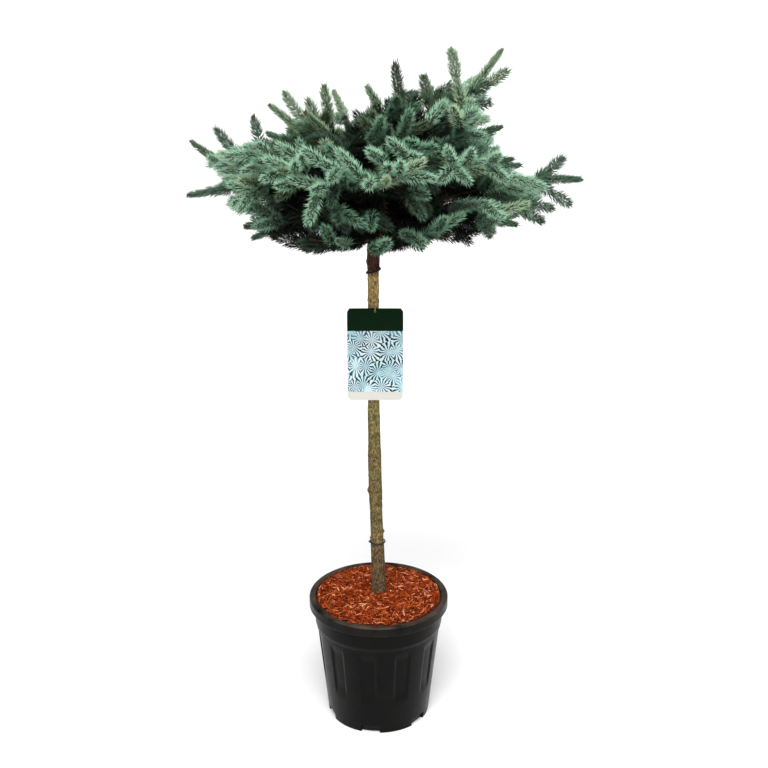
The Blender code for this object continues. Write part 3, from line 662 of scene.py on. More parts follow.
def grow_outer(shoots, m, nodes, fork, tip):
    """An outstanding shoot of two years' growth, and the fork at its middle."""
    foot = nodes[fork]
    middle = (foot + tip) / 2 - AZ * OUTER_SAG * np.linalg.norm(tip - foot)
    shoots.append(Shoot(m, foot, middle, 1))
    shoots.append(Shoot(m, middle, tip, 2))
    return m, middle, unit(tip - middle), 2, 1


def clears(shoots, lines, m, a, b):
    """Whether a shoot a-b of mass m keeps off the limbs and the other masses."""
    if (segment_gaps(a, b, lines[0], lines[1]) - lines[2]).min() < NEEDLE_REACH + 2 * GAP:
        return False
    others = [s for s in shoots if s.mass != m]
    return not others or segment_gaps(a, b, *ends_of(others)).min() >= 2 * (NEEDLE_REACH + GAP)


def needle_start(shoots, lines, m, foot, after):
    """Where needles begin on a mass's stem."""
    way = unit(after - foot)
    for bare in BARE_STARTS:
        if clears(shoots, lines, m, foot + way * bare, after):
            break
    return foot + way * bare


def aim(dice, side, up, ahead, turn, splays):
    """A way off a shoot: turned round it by about so many degrees, and splayed from it."""
    roll = math.radians(turn + dice.uniform(-ROLL_SWING, ROLL_SWING))
    splay = math.radians(dice.uniform(*splays))
    across = math.cos(roll) * side + math.sin(roll) * up
    return math.cos(splay) * ahead + math.sin(splay) * across


def grow_whorl(shoots, lines, dice, m, point, ahead, order, years):
    """Grows one whorl of side shoots, and gives the tips that fork next."""
    forks = []
    for turn, size in WHORL:
        way = unit(aim(dice, *frame_of(ahead), ahead, turn, SPLAY) + AZ * LIFT)
        length = SHOOT_LENGTHS[order - 1] * size * dice.uniform(*LENGTH_SWING)
        foot = point
        for year in range(years):
            tip = first_fit(shoots, lines, m, foot, way, length)
            if tip is None:
                break
            shoots.append(Shoot(m, foot, tip, order))
            foot = tip
            length *= YEARLY_DROP
            if year < years - 1:
                forks.append((m, foot, way, order + 1, years - 1 - year))
            sway = dice.uniform(-SWAY, SWAY) * AX + dice.uniform(-SWAY, SWAY) * AY
            way = unit(way + STRAIGHTENING * ahead + sway + dice.uniform(0, 2 * SWAY) * AZ)
    return forks


def within(limb, tip):
    """Whether a tip is inside its limb's heights and reach."""
    lowest = max(min(limb.tip, limb.start) - ROOM_BELOW, CROWN_BOTTOM)
    highest = min(limb.tip + ROOM_ABOVE, CROWN_TOP)
    return lowest < tip[2] < highest and math.hypot(tip[0], tip[1]) <= limb.reach + ROOM_BEYOND


def in_body(tip, margin):
    """Whether a tip shows within the body's outline, from an eye at VIEW_DISTANCE and VIEW_HEIGHT.

    The line of sight through the tip meets the plane y = 0 at share
    distance / (distance + y) of its way from the eye.
    """
    share = VIEW_DISTANCE / (VIEW_DISTANCE + tip[1])
    x, z = tip[0] * share, VIEW_HEIGHT + (tip[2] - VIEW_HEIGHT) * share
    across, lowest, highest = zip(*BODY_OUTLINE)
    if not across[0] < x < across[-1]:
        return False
    return np.interp(x, across, lowest) + margin < z < np.interp(x, across, highest) - margin


def in_box(tip):
    """Whether a tip leaves room for its needles inside the solids' box."""
    low, high = (np.array(corner) for corner in solid_box)
    return bool(((low + TIP_ROOM < tip) & (tip < high - TIP_ROOM)).all())


def first_fit(shoots, lines, m, foot, way, length):
    """Tip of the longest shoot that keeps its distances, or None."""
    own = ends_of([s for s in shoots if s.mass == m])
    for share in SHORTER:
        tip = foot + way * length * share
        if not (within(LIMBS[m], tip) and in_body(tip, BODY_MARGIN)):
            continue
        outer = foot + (tip - foot) * OUTER_SHARE
        if segment_gaps(outer, tip, *own).min() >= OWN_SPACING and clears(shoots, lines, m, foot, tip):
            return tip
    return None


def grow_finer(shoots, lines):
    """Finer twigs by the same rule: a whorl part way along every shoot and at its end.

    They may share the room between sprays, so only their outer ends are held apart.
    """
    dice = random.Random(FINE_SEED)
    grown = list(shoots)
    for shoot, start, end, ahead, side, up in zip(shoots, *lines_of(shoots)):
        limb = LIMBS[shoot.mass]
        for place, (turn, size) in product(FINE_PLACES, WHORL):
            foot = start + (end - start) * place
            outward = unit(foot * (1, 1, 0)) + AZ * FINE_RISE
            way = unit(aim(dice, side, up, ahead, turn + FINE_TURN, SPLAY) + FINE_OUTWARD * outward)
            swing = size * dice.uniform(*LENGTH_SWING)
            for length in FINE_LENGTHS:
                tip = foot + way * length * swing
                fits = within(limb, tip) and in_body(tip, FINE_MARGIN) and in_box(tip)
                if fits and has_room(grown, lines, foot, tip, FINE_SPACING):
                    grown.append(Shoot(shoot.mass, foot, tip, 3))
                    break
    return grown


def has_room(grown, lines, foot, tip, spacing):
    """Whether the outer part of a shoot keeps off the bark and apart from all other shoots."""
    outer = foot + (tip - foot) * OUTER_SHARE
    if (segment_gaps(outer, tip, lines[0], lines[1]) - lines[2]).min() < FINE_ROOM:
        return False
    return segment_gaps(outer, tip, *ends_of(grown)).min() >= spacing


def grow_inner(grown, lines):
    """Short shaded twigs round the boughs and the stem, inside the crown."""
    dice = random.Random(FINE_SEED + 1)
    feet = []
    for m, limb in enumerate(LIMBS):
        for place in INNER_PLACES if limb.share else ():
            t = limb.share * place
            way = unit(limb_point(limb, t + LIMB_STEP) - limb_point(limb, t - LIMB_STEP))
            feet.append((m, limb_point(limb, t), way))
    feet += [(len(LIMBS) - 1, stem_at(height)[0], AZ) for height in INNER_HEIGHTS]
    for (m, foot, ahead), turn in product(feet, range(0, 360, INNER_TURN)):
        way = unit(aim(dice, *frame_of(ahead), ahead, turn, INNER_SPLAY))
        tip = foot + way * (INNER_LENGTH * dice.uniform(*LENGTH_SWING))
        if in_body(tip, FINE_MARGIN) and has_room(grown, lines, foot, tip, INNER_SPACING):
            grown.append(Shoot(m, foot, tip, 4))
    return grown


# ---- crown


def stands_out(shoots):
    """Which shoots end outside the crown's body, against the sky."""
    return np.array([s.order < 3 and not in_body(s.end, 0.0) for s in shoots])


def painted_shade_of(shoots, dice):
    """The needle colour step of each shoot: painted shade, darker the less open it lies to the sky.

    A shoot is covered by every other whose middle lies above it or further out:
    cover = the sum of exp(-distance / COVER_REACH) times the cosine to the open side,
    where that is positive. Hanging, inner and low shoots count as more covered.
    Shoots are ranked by cover, those in a hollow lose up to HOLLOW_SHARE of rank,
    and they are dealt out in steps. Those against the sky keep to the middle steps,
    the upright ones up to one step paler.
    """
    start, end = ends_of(shoots)
    middle, ahead = (start + end) / 2, unit(end - start)
    order = np.array([s.order for s in shoots])
    open_side = unit(unit(middle * (1, 1, 0)) + AZ * OPEN_RISE)
    way = middle[None] - middle[:, None]
    distance = np.linalg.norm(way, axis=2) + np.eye(len(shoots))
    cosine = np.maximum(0, (way * open_side[:, None]).sum(2) / distance)
    cover = (np.exp(-distance / COVER_REACH) * cosine).sum(1)
    cover = cover - HANGING_COVER * ahead[:, 2] + np.where(order == 4, INNER_COVER, 0.0)
    cover = cover + LOW_COVER * np.maximum(0, LOW_BELOW - middle[:, 2])
    cover = cover * np.exp(dice.normal(0, COVER_NOISE, len(shoots)))
    rank = np.argsort(np.argsort(-cover)) / len(shoots)
    for *place, radius in HOLLOWS:
        near = np.exp(-(((middle - place) / (radius, HOLLOW_DEPTH, radius)) ** 2).sum(1))
        rank = rank - HOLLOW_SHARE * near * dice.uniform(0.3, 1.0, len(shoots))
    # the steps are painted shade: the more covered a shoot, the darker its colour
    step = np.searchsorted(np.cumsum(SHADE_SHARES), rank).clip(0, len(SHADE_SHARES) - 1)
    upright = (middle[:, 2] > UPRIGHT_ABOVE) & (ahead[:, 2] > UPRIGHT_SLOPE) & (order < 3)
    least, most, most_upright = STANDING_STEPS
    held = step.clip(least, np.where(upright, most_upright, most))
    step = np.where(stands_out(shoots), held, step)
    warm = dice.random(len(shoots)) < np.where(upright, *WARM_SHARES)
    dead = (order == 4) & (middle[:, 2] > DEAD_ABOVE) & (dice.random(len(shoots)) < DEAD_SHARE)
    return np.where(dead, DEAD_SHADE, 2 * step + warm)


def clothe(shoots, shades, dice):
    """Needles of many shoots as closed three-sided spindles, with a shade for every face.

    Needle k of n sits at about share s = (k + 1/2) / n of its shoot, at a turn of 137.5 k
    degrees. It stands off by an angle that closes from 62 degrees at the foot to 22
    at the end of a blunt spray, by the fifth power of the share, and evenly to 32 on
    a slender one. The last ones round a bud that stands against the sky are short
    and brown. The widest ring, at 0.4 of its length, leans out more than its
    point does, so that the needle bends forward and up.
    """
    start, end, ahead, side, up = lines_of(shoots)
    length = np.linalg.norm(end - start, axis=1)
    standing = stands_out(shoots)
    fuller = np.where(shades == DEAD_SHADE, DEAD_FULLER, np.where(standing, STANDING_FULLER, 1.0))
    count = np.round(length * NEEDLES_PER_METRE * fuller).astype(int)
    owner = np.repeat(np.arange(len(shoots)), count)
    k = np.arange(len(owner)) - np.repeat(np.cumsum(count) - count, count)
    share = (k + dice.uniform(0.1, 0.9, len(k))) / count[owner]
    turn = np.radians(NEEDLE_TURN * k + dice.normal(0, TURN_SHAKE, len(k)))
    slender = np.array([s.order == 0 for s in shoots])[owner]
    closing = np.where(slender, SLENDER_CLOSING * share, BLUNT_CLOSING * share**5)
    splay = np.radians(NEEDLE_SPLAY - closing + dice.normal(0, SPLAY_SHAKE, len(k)))
    reach = NEEDLE_LENGTH * (1.05 - np.where(slender, 0.45 * share, 0.20 * share**2))
    reach = reach * dice.uniform(*NEEDLE_SWING, len(k))
    husk = standing[owner] & (share > HUSK_SHARE) & (dice.random(len(k)) < HUSK_CHANCE)
    reach = np.where(husk, HUSK_REACH * reach, reach)
    ahead = ahead[owner]
    out = np.cos(turn)[:, None] * side[owner] + np.sin(turn)[:, None] * up[owner]
    foot = start[owner] + ahead * (share * length[owner])[:, None] + out * TWIG_SKIN

    def way(angle):
        return unit(np.cos(angle)[:, None] * ahead + np.sin(angle)[:, None] * out + NEEDLE_LIFT * AZ)

    point = way(splay - POINT_LEAN) * reach[:, None]
    ring = way(splay + RING_LEAN) * (WIDEST * reach)[:, None]
    room = np.minimum(room_share(foot, foot + point), room_share(foot, foot + ring))[:, None]
    point, ring = foot + room * point, foot + room * ring
    axis = unit(point - foot)
    across = unit(np.cross(axis, ahead + 0.01 * AX))
    radii = NEEDLE_RADIUS * dice.uniform(*RADIUS_SWING, (len(k), 1))
    high = np.cross(axis, across)
    points, _, faces = tubes(ring[:, None], across[:, None], high[:, None], radii, foot, point, 3)
    # the lower half of each needle takes its pair's darker colour: painted shade within the spray
    halves = np.tile(np.repeat([0, 1], 3), len(k))
    worn = np.where(husk, DEAD_SHADE, shades[owner])
    return points, faces, 2 * np.repeat(worn, 6) + halves


def room_share(feet, points):
    """The share of each needle inside the solids' box: the least (wall - foot) / (point - foot)."""
    low, high = np.array(solid_box)
    walls = np.where(points > feet, high - BOX_ROOM, low + BOX_ROOM)
    shares = (walls - feet) / np.where(np.abs(points - feet) < 1e-9, 1e-9, points - feet)
    return np.clip(shares.min(1), 0.01, 1.0)


def make_needles(shoots, shades):
    """The needles, joined into pieces of neighbouring masses, a new piece begun before one would pass
    PIECE_FACES faces.
    """
    dice = np.random.default_rng(FINE_SEED)
    # a waxy leaf: plain colour, a broad soft gloss
    materials = []
    for (i, pair), (part, name) in product(enumerate(NEEDLE_SHADES), enumerate(("base", "tip"))):
        wax = {"Roughness": 0.52, "IOR": 1.45, "Specular_IOR_Level": 0.10 if i < 6 else 0.30}
        materials.append(finish(f"spruce_needle_{i}_{name}", pair[part], **wax))
    masses = np.array([s.mass for s in shoots])
    groups, total = [], PIECE_FACES
    for m, limb in enumerate(LIMBS):
        mine = np.flatnonzero(masses == m)
        points, faces, colours = clothe([shoots[i] for i in mine], shades[mine], dice)
        if total + len(faces) > PIECE_FACES:
            groups.append([])
            total = 0
        groups[-1].append((points, faces, colours, limb.name + "_foliage"))
        total += len(faces)
    for number, group in enumerate(groups, 1):
        points, faces, colours, names = zip(*group)
        firsts = np.cumsum([0] + [len(p) for p in points])
        faces = [f + first for f, first in zip(faces, firsts)]
        stacked = np.concatenate(points), [np.concatenate(faces)], materials, np.concatenate(colours)
        piece(f"needles_{number}", *stacked, node_names=names, slot="foliage")


def make_twigs(shoots):
    """The twig inside every spray, and the bare stalks of the masses, as tapering tubes."""
    barks = [finish(name, code, Roughness=rough) for name, code, rough in TWIG_BARKS]
    grown = list(shoots)
    for m, limb in enumerate(LIMBS):
        foot = limb_point(limb, max(0.0, limb.share - STALK_OVERLAP))
        tip = limb_point(limb, limb.share + STALK_SHARE * (1 - limb.share))
        grown.append(Shoot(m, foot, tip, -1))
    start, end, ahead, side, up = lines_of(grown)
    order = np.array([s.order for s in grown])
    share = np.array(TWIG_RINGS)
    thick = np.array(TWIG_RADII)[np.minimum(order + 1, 3)]
    centres = start[:, None] + scaled(end - start, share)
    centres = centres + scaled(ahead, np.where(share == 0, -TWIG_ROOT, 0.0))
    radii = thick[:, None] * (1 - TWIG_TAPER * share)
    feet = centres[:, 0] - ahead * 0.001
    points, *faces = tubes(centres, up[:, None], side[:, None], radii, feet, end, 5)
    shade = np.where((order <= 0) | (order == 4), 1, np.where(np.arange(len(order)) % 3 == 0, 2, 0))
    piece("twigs", points, faces, barks, per_face(shade, *faces), slot="bough_bark")


def make_buds(shoots):
    """Blunt winter buds at the tips that send nothing on: an egg of five rings by six sides."""
    scales = [finish(name, code, Roughness=0.65) for name, code in BUD_SCALES]
    feet, _ = ends_of(shoots)
    tips = [s for s in shoots if s.order < 3 and np.linalg.norm(feet - s.end, axis=1).min() > BUD_ROOM]
    _, end, ahead, side, up = lines_of(tips)
    share = np.linspace(0.08, 0.92, 5)
    centres = end[:, None] + scaled(ahead, BUD_LENGTH * (share - 1))
    radii = np.tile(BUD_RADIUS * np.sqrt(np.sin(np.pi * share**1.25)), (len(tips), 1))
    feet = end - ahead * BUD_LENGTH
    points, *faces = tubes(centres, up[:, None], side[:, None], radii, feet, feet + ahead * BUD_LENGTH, 6)
    shade = per_face(np.arange(len(tips)) % 2, *faces)
    piece("buds", points, faces, scales, shade, slot="bough_bark")


# ---- bark


def stem_lines(height):
    """Centre and radius of the stem at many heights, its table's corners eased by a running mean."""
    fine = np.linspace(STEM[0][0], STEM[-1][0], 800)
    width = 2 * STEM_EASE + 1
    rows = [np.interp(fine, STEM[:, 0], STEM[:, i]) for i in (1, 2, 3)]
    eased = [np.convolve(np.pad(row, STEM_EASE, "edge"), np.ones(width) / width, "valid") for row in rows]
    return [np.interp(height, fine, row) for row in eased]


def knob(height, angle, place, turn, tall, wide):
    """A rounded knob on the bark: tall * exp(-(distance / wide)^2), angles taken at 11 mm radius."""
    off = (angle - math.radians(turn) + np.pi) % (2 * np.pi) - np.pi
    return tall * np.exp(-(((height - place) / wide) ** 2) - (off * KNOB_RADIUS / wide) ** 2)


def make_trunk():
    """The stem: a tube over its centre line, its radius raised and sunk by the bark's relief.

    Radius = eased radius + scales + ridges - cracks + lumps + knobs, the first three
    over twice as deep above the graft, and five low ribs that fade up from the foot.
    """
    rows, columns = 620, 72
    height = np.linspace(STEM[0][0], STEM[-1][0], rows)
    x, y, radius = (line[:, None] for line in stem_lines(height))
    z, a = height[:, None], even_turns(columns)
    rough = 1 + GRAFT_ROUGHER / (1 + np.exp(-(z - GRAFT_HEIGHT) / 0.006))
    scales, ridges, lumps, cracks = (ripple(seed, rows, columns, *cells) for seed, *cells in BARK_RIPPLES)
    cracks = -np.clip(0.25 - np.abs(cracks), 0, 1)
    relief = SCALE_RISE * scales + RIDGE_RISE * ridges + CRACK_DEPTH * cracks
    relief = (rough * relief + LUMP_RISE * lumps) * np.clip(radius / 0.010, 0.3, 1.0)
    for spot in KNOBS:
        relief = relief + knob(z, a, *spot)
    ribs = RIB_RISE * np.cos(RIBS * a + 0.6) * np.exp(-(z - STEM[0][0]) / RIB_FADE)
    r = radius + relief + ribs
    points = np.concatenate([turned(r, a, z, x, y).reshape(-1, 3), np.stack([x, y, z], -1)[[0, -1], 0]])
    bark = {"node_names": ["trunk"], "slot": "trunk_bark"}
    piece("trunk_bark", points, closed(rows, columns), [trunk_bark()], **bark)


def make_boughs():
    """The boughs: tapering tubes along each limb, with ring scars and scales in their radius."""
    boughs = [limb for limb in LIMBS if limb.share]
    rings, sides = 40, 16
    share = np.linspace(0.0, 1.0, rings)
    centres = np.array([[limb_point(limb, limb.share * t) for t in share] for limb in boughs])
    ahead = unit(np.gradient(centres, axis=1))
    up = unit(np.cross(ahead, np.array([heading(limb)[1] for limb in boughs])[:, None]))
    radii = np.tile(BOUGH_RADIUS + (TWIG_RADIUS - BOUGH_RADIUS) * share, (len(boughs), 1))
    ends = centres[:, 0], centres[:, -1]
    points, *faces = tubes(centres, np.cross(up, ahead), up, radii, *ends, sides)
    relief = np.array([ripple(40 + i, rings, sides, 26, 6) for i in range(len(boughs))]) * BOUGH_RISE
    grown = points.reshape(len(boughs), -1, 3)
    spokes = grown[:, :-2].reshape(len(boughs), rings, sides, 3) - centres[:, :, None]
    grown[:, :-2] += (unit(spokes) * relief[..., None]).reshape(len(boughs), -1, 3)
    names = [limb.name + "_bough" for limb in boughs]
    piece("bough_bark", grown.reshape(-1, 3), faces, [bough_bark()], node_names=names, slot="bough_bark")


def bough_bark():
    """Young spruce bark: rusty, scaly, with the pegs of fallen needles."""
    material = finish("young_spruce_bark", "#52331f", Roughness=0.88, Specular_IOR_Level=0.25)
    stops = (0.30, "#22140d"), (0.52, "#4c2f1e"), (0.72, "#775036")
    grained(material, stops, 0.6, 0.0006, Scale=420.0, Detail=4.0)
    return material


def grained(material, stops, strength, depth, **noise):
    """Colours a material by a fine noise, which raises it too."""
    tree = material.node_tree
    grain = node(tree, "TexNoise", node(tree, "TexCoord", out="Object"), **noise)
    bump = node(tree, "Bump", Height=grain, Strength=strength, Distance=depth)
    coat(material, Base_Color=node(tree, "ValToRGB", grain, stops=stops), Normal=bump)


def trunk_bark():
    """Spruce bark: thin grey-brown scales, green algae low down, red-brown flakes over the graft."""
    material = finish("spruce_bark_with_algae", "#876b48", Roughness=0.9, Specular_IOR_Level=0.25)
    tree = material.node_tree
    place = node(tree, "TexCoord", out="Object")
    height = node(tree, "SeparateXYZ", place, out="Z")
    # scales 3 mm wide and twice as tall
    stretched = node(tree, "Mapping", place, Scale=(1.0, 1.0, 0.5))
    grain = node(tree, "TexNoise", stretched, Scale=330.0, Detail=5.0, Roughness=0.65)
    scale_edge = node(tree, "TexVoronoi", stretched, Scale=260.0, feature="DISTANCE_TO_EDGE")
    colour, foot, green, graft = (node(tree, "ValToRGB", grain, stops=stops) for stops in BARK_LAYERS)
    # algae sit in yellow-green spots a few millimetres wide, thickest from 0.4 to 0.7 m up
    blotch = node(tree, "TexNoise", place, Scale=60.0, Detail=4.0, Roughness=0.6)
    algae = node(tree, "MapRange", height, 0.385, 0.425, interpolation_type="SMOOTHSTEP")
    high = node(tree, "MapRange", height, 0.86, 0.62, interpolation_type="SMOOTHSTEP")
    for part in (high, node(tree, "MapRange", blotch, 0.40, 0.60), ALGAE_SHARE):
        algae = node(tree, "Math", algae, part, operation="MULTIPLY")
    over = node(tree, "MapRange", height, GRAFT_HEIGHT - 0.012, GRAFT_HEIGHT + 0.004)
    under = node(tree, "MapRange", height, 0.40, 0.34)
    for share, layer in ((under, foot), (algae, green), (over, graft)):
        colour = node(tree, "Mix", share, A_Color=colour, B_Color=layer, data_type="RGBA", out=2)
    # dark patches a centimetre across, dark rings between the yearly swellings, and cracks
    patch = node(tree, "TexNoise", place, Scale=90.0, Detail=5.0, Roughness=0.7)
    banded = node(tree, "Mapping", place, Scale=(0.12, 0.12, 1.0))
    ring = node(tree, "TexNoise", banded, Scale=120.0, Detail=2.0)
    # darker above the lower tie, lighter towards the graft: paler young bark, and painted light against the
    # crown's shadow on the stem
    age_and_light = node(tree, "ValToRGB", height, stops=BARK_AGES_AND_LIGHT)
    shades = (
        node(tree, "MapRange", patch, 0.38, 0.56, 0.70, 1.05),
        node(tree, "MapRange", ring, 0.34, 0.44, 0.70, 1.0),
        node(tree, "MapRange", scale_edge, 0.0, 0.06, 0.55, 1.0),
        node(tree, "VectorMath", age_and_light, (2.0, 2.0, 2.0), operation="MULTIPLY"),
    )
    blend = {"data_type": "RGBA", "blend_type": "MULTIPLY", "out": 2}
    for shade in shades:
        colour = node(tree, "Mix", 1.0, A_Color=colour, B_Color=shade, **blend)
    bump = node(tree, "Bump", Height=grain, Strength=0.7, Distance=0.0008)
    coat(material, Base_Color=colour, Normal=bump)
    return material


# ---- pot


def off_turn(angle, first, count):
    """Angle to the nearest of so many even turns from a first one."""
    period = 2 * np.pi / count
    return np.abs((angle - first + period / 2) % period - period / 2)


def wall(z):
    """Radius of the pot's outer wall at a height."""
    return POT_BASE_RADIUS + POT_TAPER * z


def pot_outline():
    """The pot's half section as one run of radius and height, from under the middle to the inner floor."""
    shoulder, shelf = wall(COLLAR_BOTTOM), POT_WALL + FLUTE_DEPTH
    collar_foot = COLLAR_BOTTOM + (COLLAR_RADIUS - shoulder) * COLLAR_SLOPE
    inside, skirt = COLLAR_RADIUS - POT_WALL, LIP_RADIUS - LIP_THICKNESS
    under, lip_foot = POT_HEIGHT - LIP_THICKNESS, POT_HEIGHT - LIP_DEPTH
    run = [(r, 0.0) for r in (0.03, 0.06, 0.078, 0.088, 0.096, 0.1005, 0.1025)]
    for low, high, count in (
        (0.0010, NOTCH_HEIGHT + 0.002, 14),
        (0.022, FLUTE_BOTTOM - 0.004, 6),
        (FLUTE_BOTTOM, FLUTE_TOP, 40),
    ):
        run += [(wall(z), z) for z in np.linspace(low, high, count)]
    rise = np.linspace(COLLAR_BOTTOM - 0.001, collar_foot + 0.010, 9)
    step = ease((rise - rise[0]) / (rise[-1] - rise[0]))
    run += [(shoulder + (COLLAR_RADIUS - shoulder) * t, z) for t, z in zip(step, rise)]
    run += [(COLLAR_RADIUS, lip_foot), (COLLAR_RADIUS, under - 0.001), (COLLAR_RADIUS + 0.001, under)]
    run += [(skirt - 0.001, under), (skirt, under - 0.001), (skirt, lip_foot + 0.001)]
    run += [(skirt + 0.0004, lip_foot), (LIP_RADIUS - 0.0005, lip_foot), (LIP_RADIUS, lip_foot + 0.0007)]
    run += [(LIP_RADIUS, z) for z in np.linspace(lip_foot + 0.003, POT_HEIGHT - LIP_ROUND - 0.001, 5)]
    for a in np.radians(np.linspace(0, 90, 7)):
        run.append((LIP_RADIUS - LIP_ROUND * (1 - math.cos(a)), POT_HEIGHT - LIP_ROUND * (1 - math.sin(a))))
    run += [(inside + r, POT_HEIGHT - z) for r, z in ((0.006, 0), (0.003, 0.0004), (0.001, 0.0014))]
    run += [(inside, z) for z in np.linspace(POT_HEIGHT - 0.004, collar_foot, 6)]
    run += [(wall(z) - shelf, z) for z in (COLLAR_BOTTOM, 0.1, POT_FLOOR)]
    return np.array(run + [(0.05, POT_FLOOR)])


def make_pot():
    """The pot: its half section turned round the axis, with flutes sunk in and notches at the foot.

    Where a flute runs, the outer wall's radius drops by the flute's depth times an
    ease across and up it. In a notch, the foot under the notch's height draws in.
    """
    run = pot_outline()
    rows, columns = len(run), 400
    angle = even_turns(columns)
    r, z = run[:, :1], run[:, 1:]
    outer = (r >= wall(z) - 1e-6) & (z < COLLAR_BOTTOM)
    across = ease((FLUTE_HALF_WIDTH - off_turn(angle, FLUTE_TURN, FLUTES)) / FLUTE_FLANK)
    along = ease((z - FLUTE_BOTTOM) / FLUTE_RUN_OUT) * ease((FLUTE_TOP - z) / FLUTE_FADE)
    sunk = r - np.where(outer, FLUTE_DEPTH * along * across, 0.0)
    from_notch = off_turn(angle, NOTCH_TURN, FEET) * POT_BASE_RADIUS
    open_share = np.clip((NOTCH_WIDTH / 2 - from_notch) / 0.0009, 0, 1)
    lower = (z < NOTCH_HEIGHT) & (np.arange(rows)[:, None] < rows // 2)
    back = np.minimum(sunk, POT_BASE_RADIUS - NOTCH_DEPTH)
    sunk = np.where(lower, sunk + (back - sunk) * open_share, sunk)
    skin = np.stack([sunk * np.sin(angle), -sunk * np.cos(angle), np.broadcast_to(z, sunk.shape)], -1)
    points = np.concatenate([skin.reshape(-1, 3), [[0, 0, 0.0], [0, 0, POT_FLOOR]]])
    piece("nursery_pot", points, closed(rows, columns), [pot_plastic()], node_names=["pot"], slot="pot")


def pot_plastic():
    """Black recycled polypropylene, injection moulded: a satin skin with a little dust and scuffing, and a
    lighter lip edge that is partly wear and partly a painted highlight.
    """
    material = finish("moulded_polypropylene", "#060706", Roughness=0.30, IOR=1.49, Specular_IOR_Level=0.09)
    tree = material.node_tree
    place = node(tree, "TexCoord", out="Object")
    dust = node(tree, "TexNoise", place, Scale=18.0, Detail=6.0, Roughness=0.6)
    tall = node(tree, "Mapping", place, Scale=(1.0, 1.0, 0.12))
    scuff = node(tree, "TexNoise", tall, Scale=240.0, Detail=3.0)
    dusty = (0.35, "#030303"), (0.60, "#050604"), (0.78, "#0b0b09")
    # the lip's upper edge is lighter grey-brown, partly rubbed by handling and soil and partly a painted
    # highlight along its rounded edge, its face hardly
    height = node(tree, "SeparateXYZ", place, out="Z")
    worn_and_lit_rim = node(tree, "Math", height, POT_HEIGHT - LIP_DEPTH - 0.001, operation="GREATER_THAN")
    rub_and_glint = node(tree, "MapRange", dust, 0.30, 0.60)
    edge = node(tree, "MapRange", height, POT_HEIGHT - 0.0035, POT_HEIGHT - 0.0008, 0.10)
    for part in (rub_and_glint, edge):
        worn_and_lit_rim = node(tree, "Math", worn_and_lit_rim, part, operation="MULTIPLY")
    colours = {"A_Color": node(tree, "ValToRGB", dust, stops=dusty), "B_Color": linear("#443931")}
    # the mould's fine texture, 0.4 mm across
    pebble = node(tree, "TexNoise", place, Scale=2400.0, Detail=2.0)
    coat(
        material,
        Base_Color=node(tree, "Mix", worn_and_lit_rim, data_type="RGBA", out=2, **colours),
        Roughness=node(tree, "MapRange", scuff, 0.3, 0.7, 0.26, 0.42),
        Normal=node(tree, "Bump", Height=pebble, Strength=0.12, Distance=0.0002),
    )
    return material


# ---- fill


def make_mulch():
    """The bed under the chips: a low dome, height = top + dome (1 - share^2) + noise, with a hole."""
    rows, columns = 26, 90
    share = np.linspace(0, 1, rows)[:, None]
    z = MULCH_TOP - 0.003 + MULCH_DOME * (1 - share**2) + 0.0014 * ripple(31, rows, columns, 12, 30)
    top = turned(BED_HOLE + (BED_RADIUS - BED_HOLE) * share, even_turns(columns), z)
    floor = top[[-1, 0]] * (1, 1, 0) + AZ * (SOIL_TOP + GAP)
    skin = np.concatenate([top, floor]).reshape(-1, 3)
    faces = [grid(rows + 2, columns, close_rows=True)]
    bed = finish("damp_bark_fines", "#3a170b", Roughness=0.95)
    piece("mulch_bed", skin, faces, [bed], node_names=["bark_mulch"], slot="mulch")


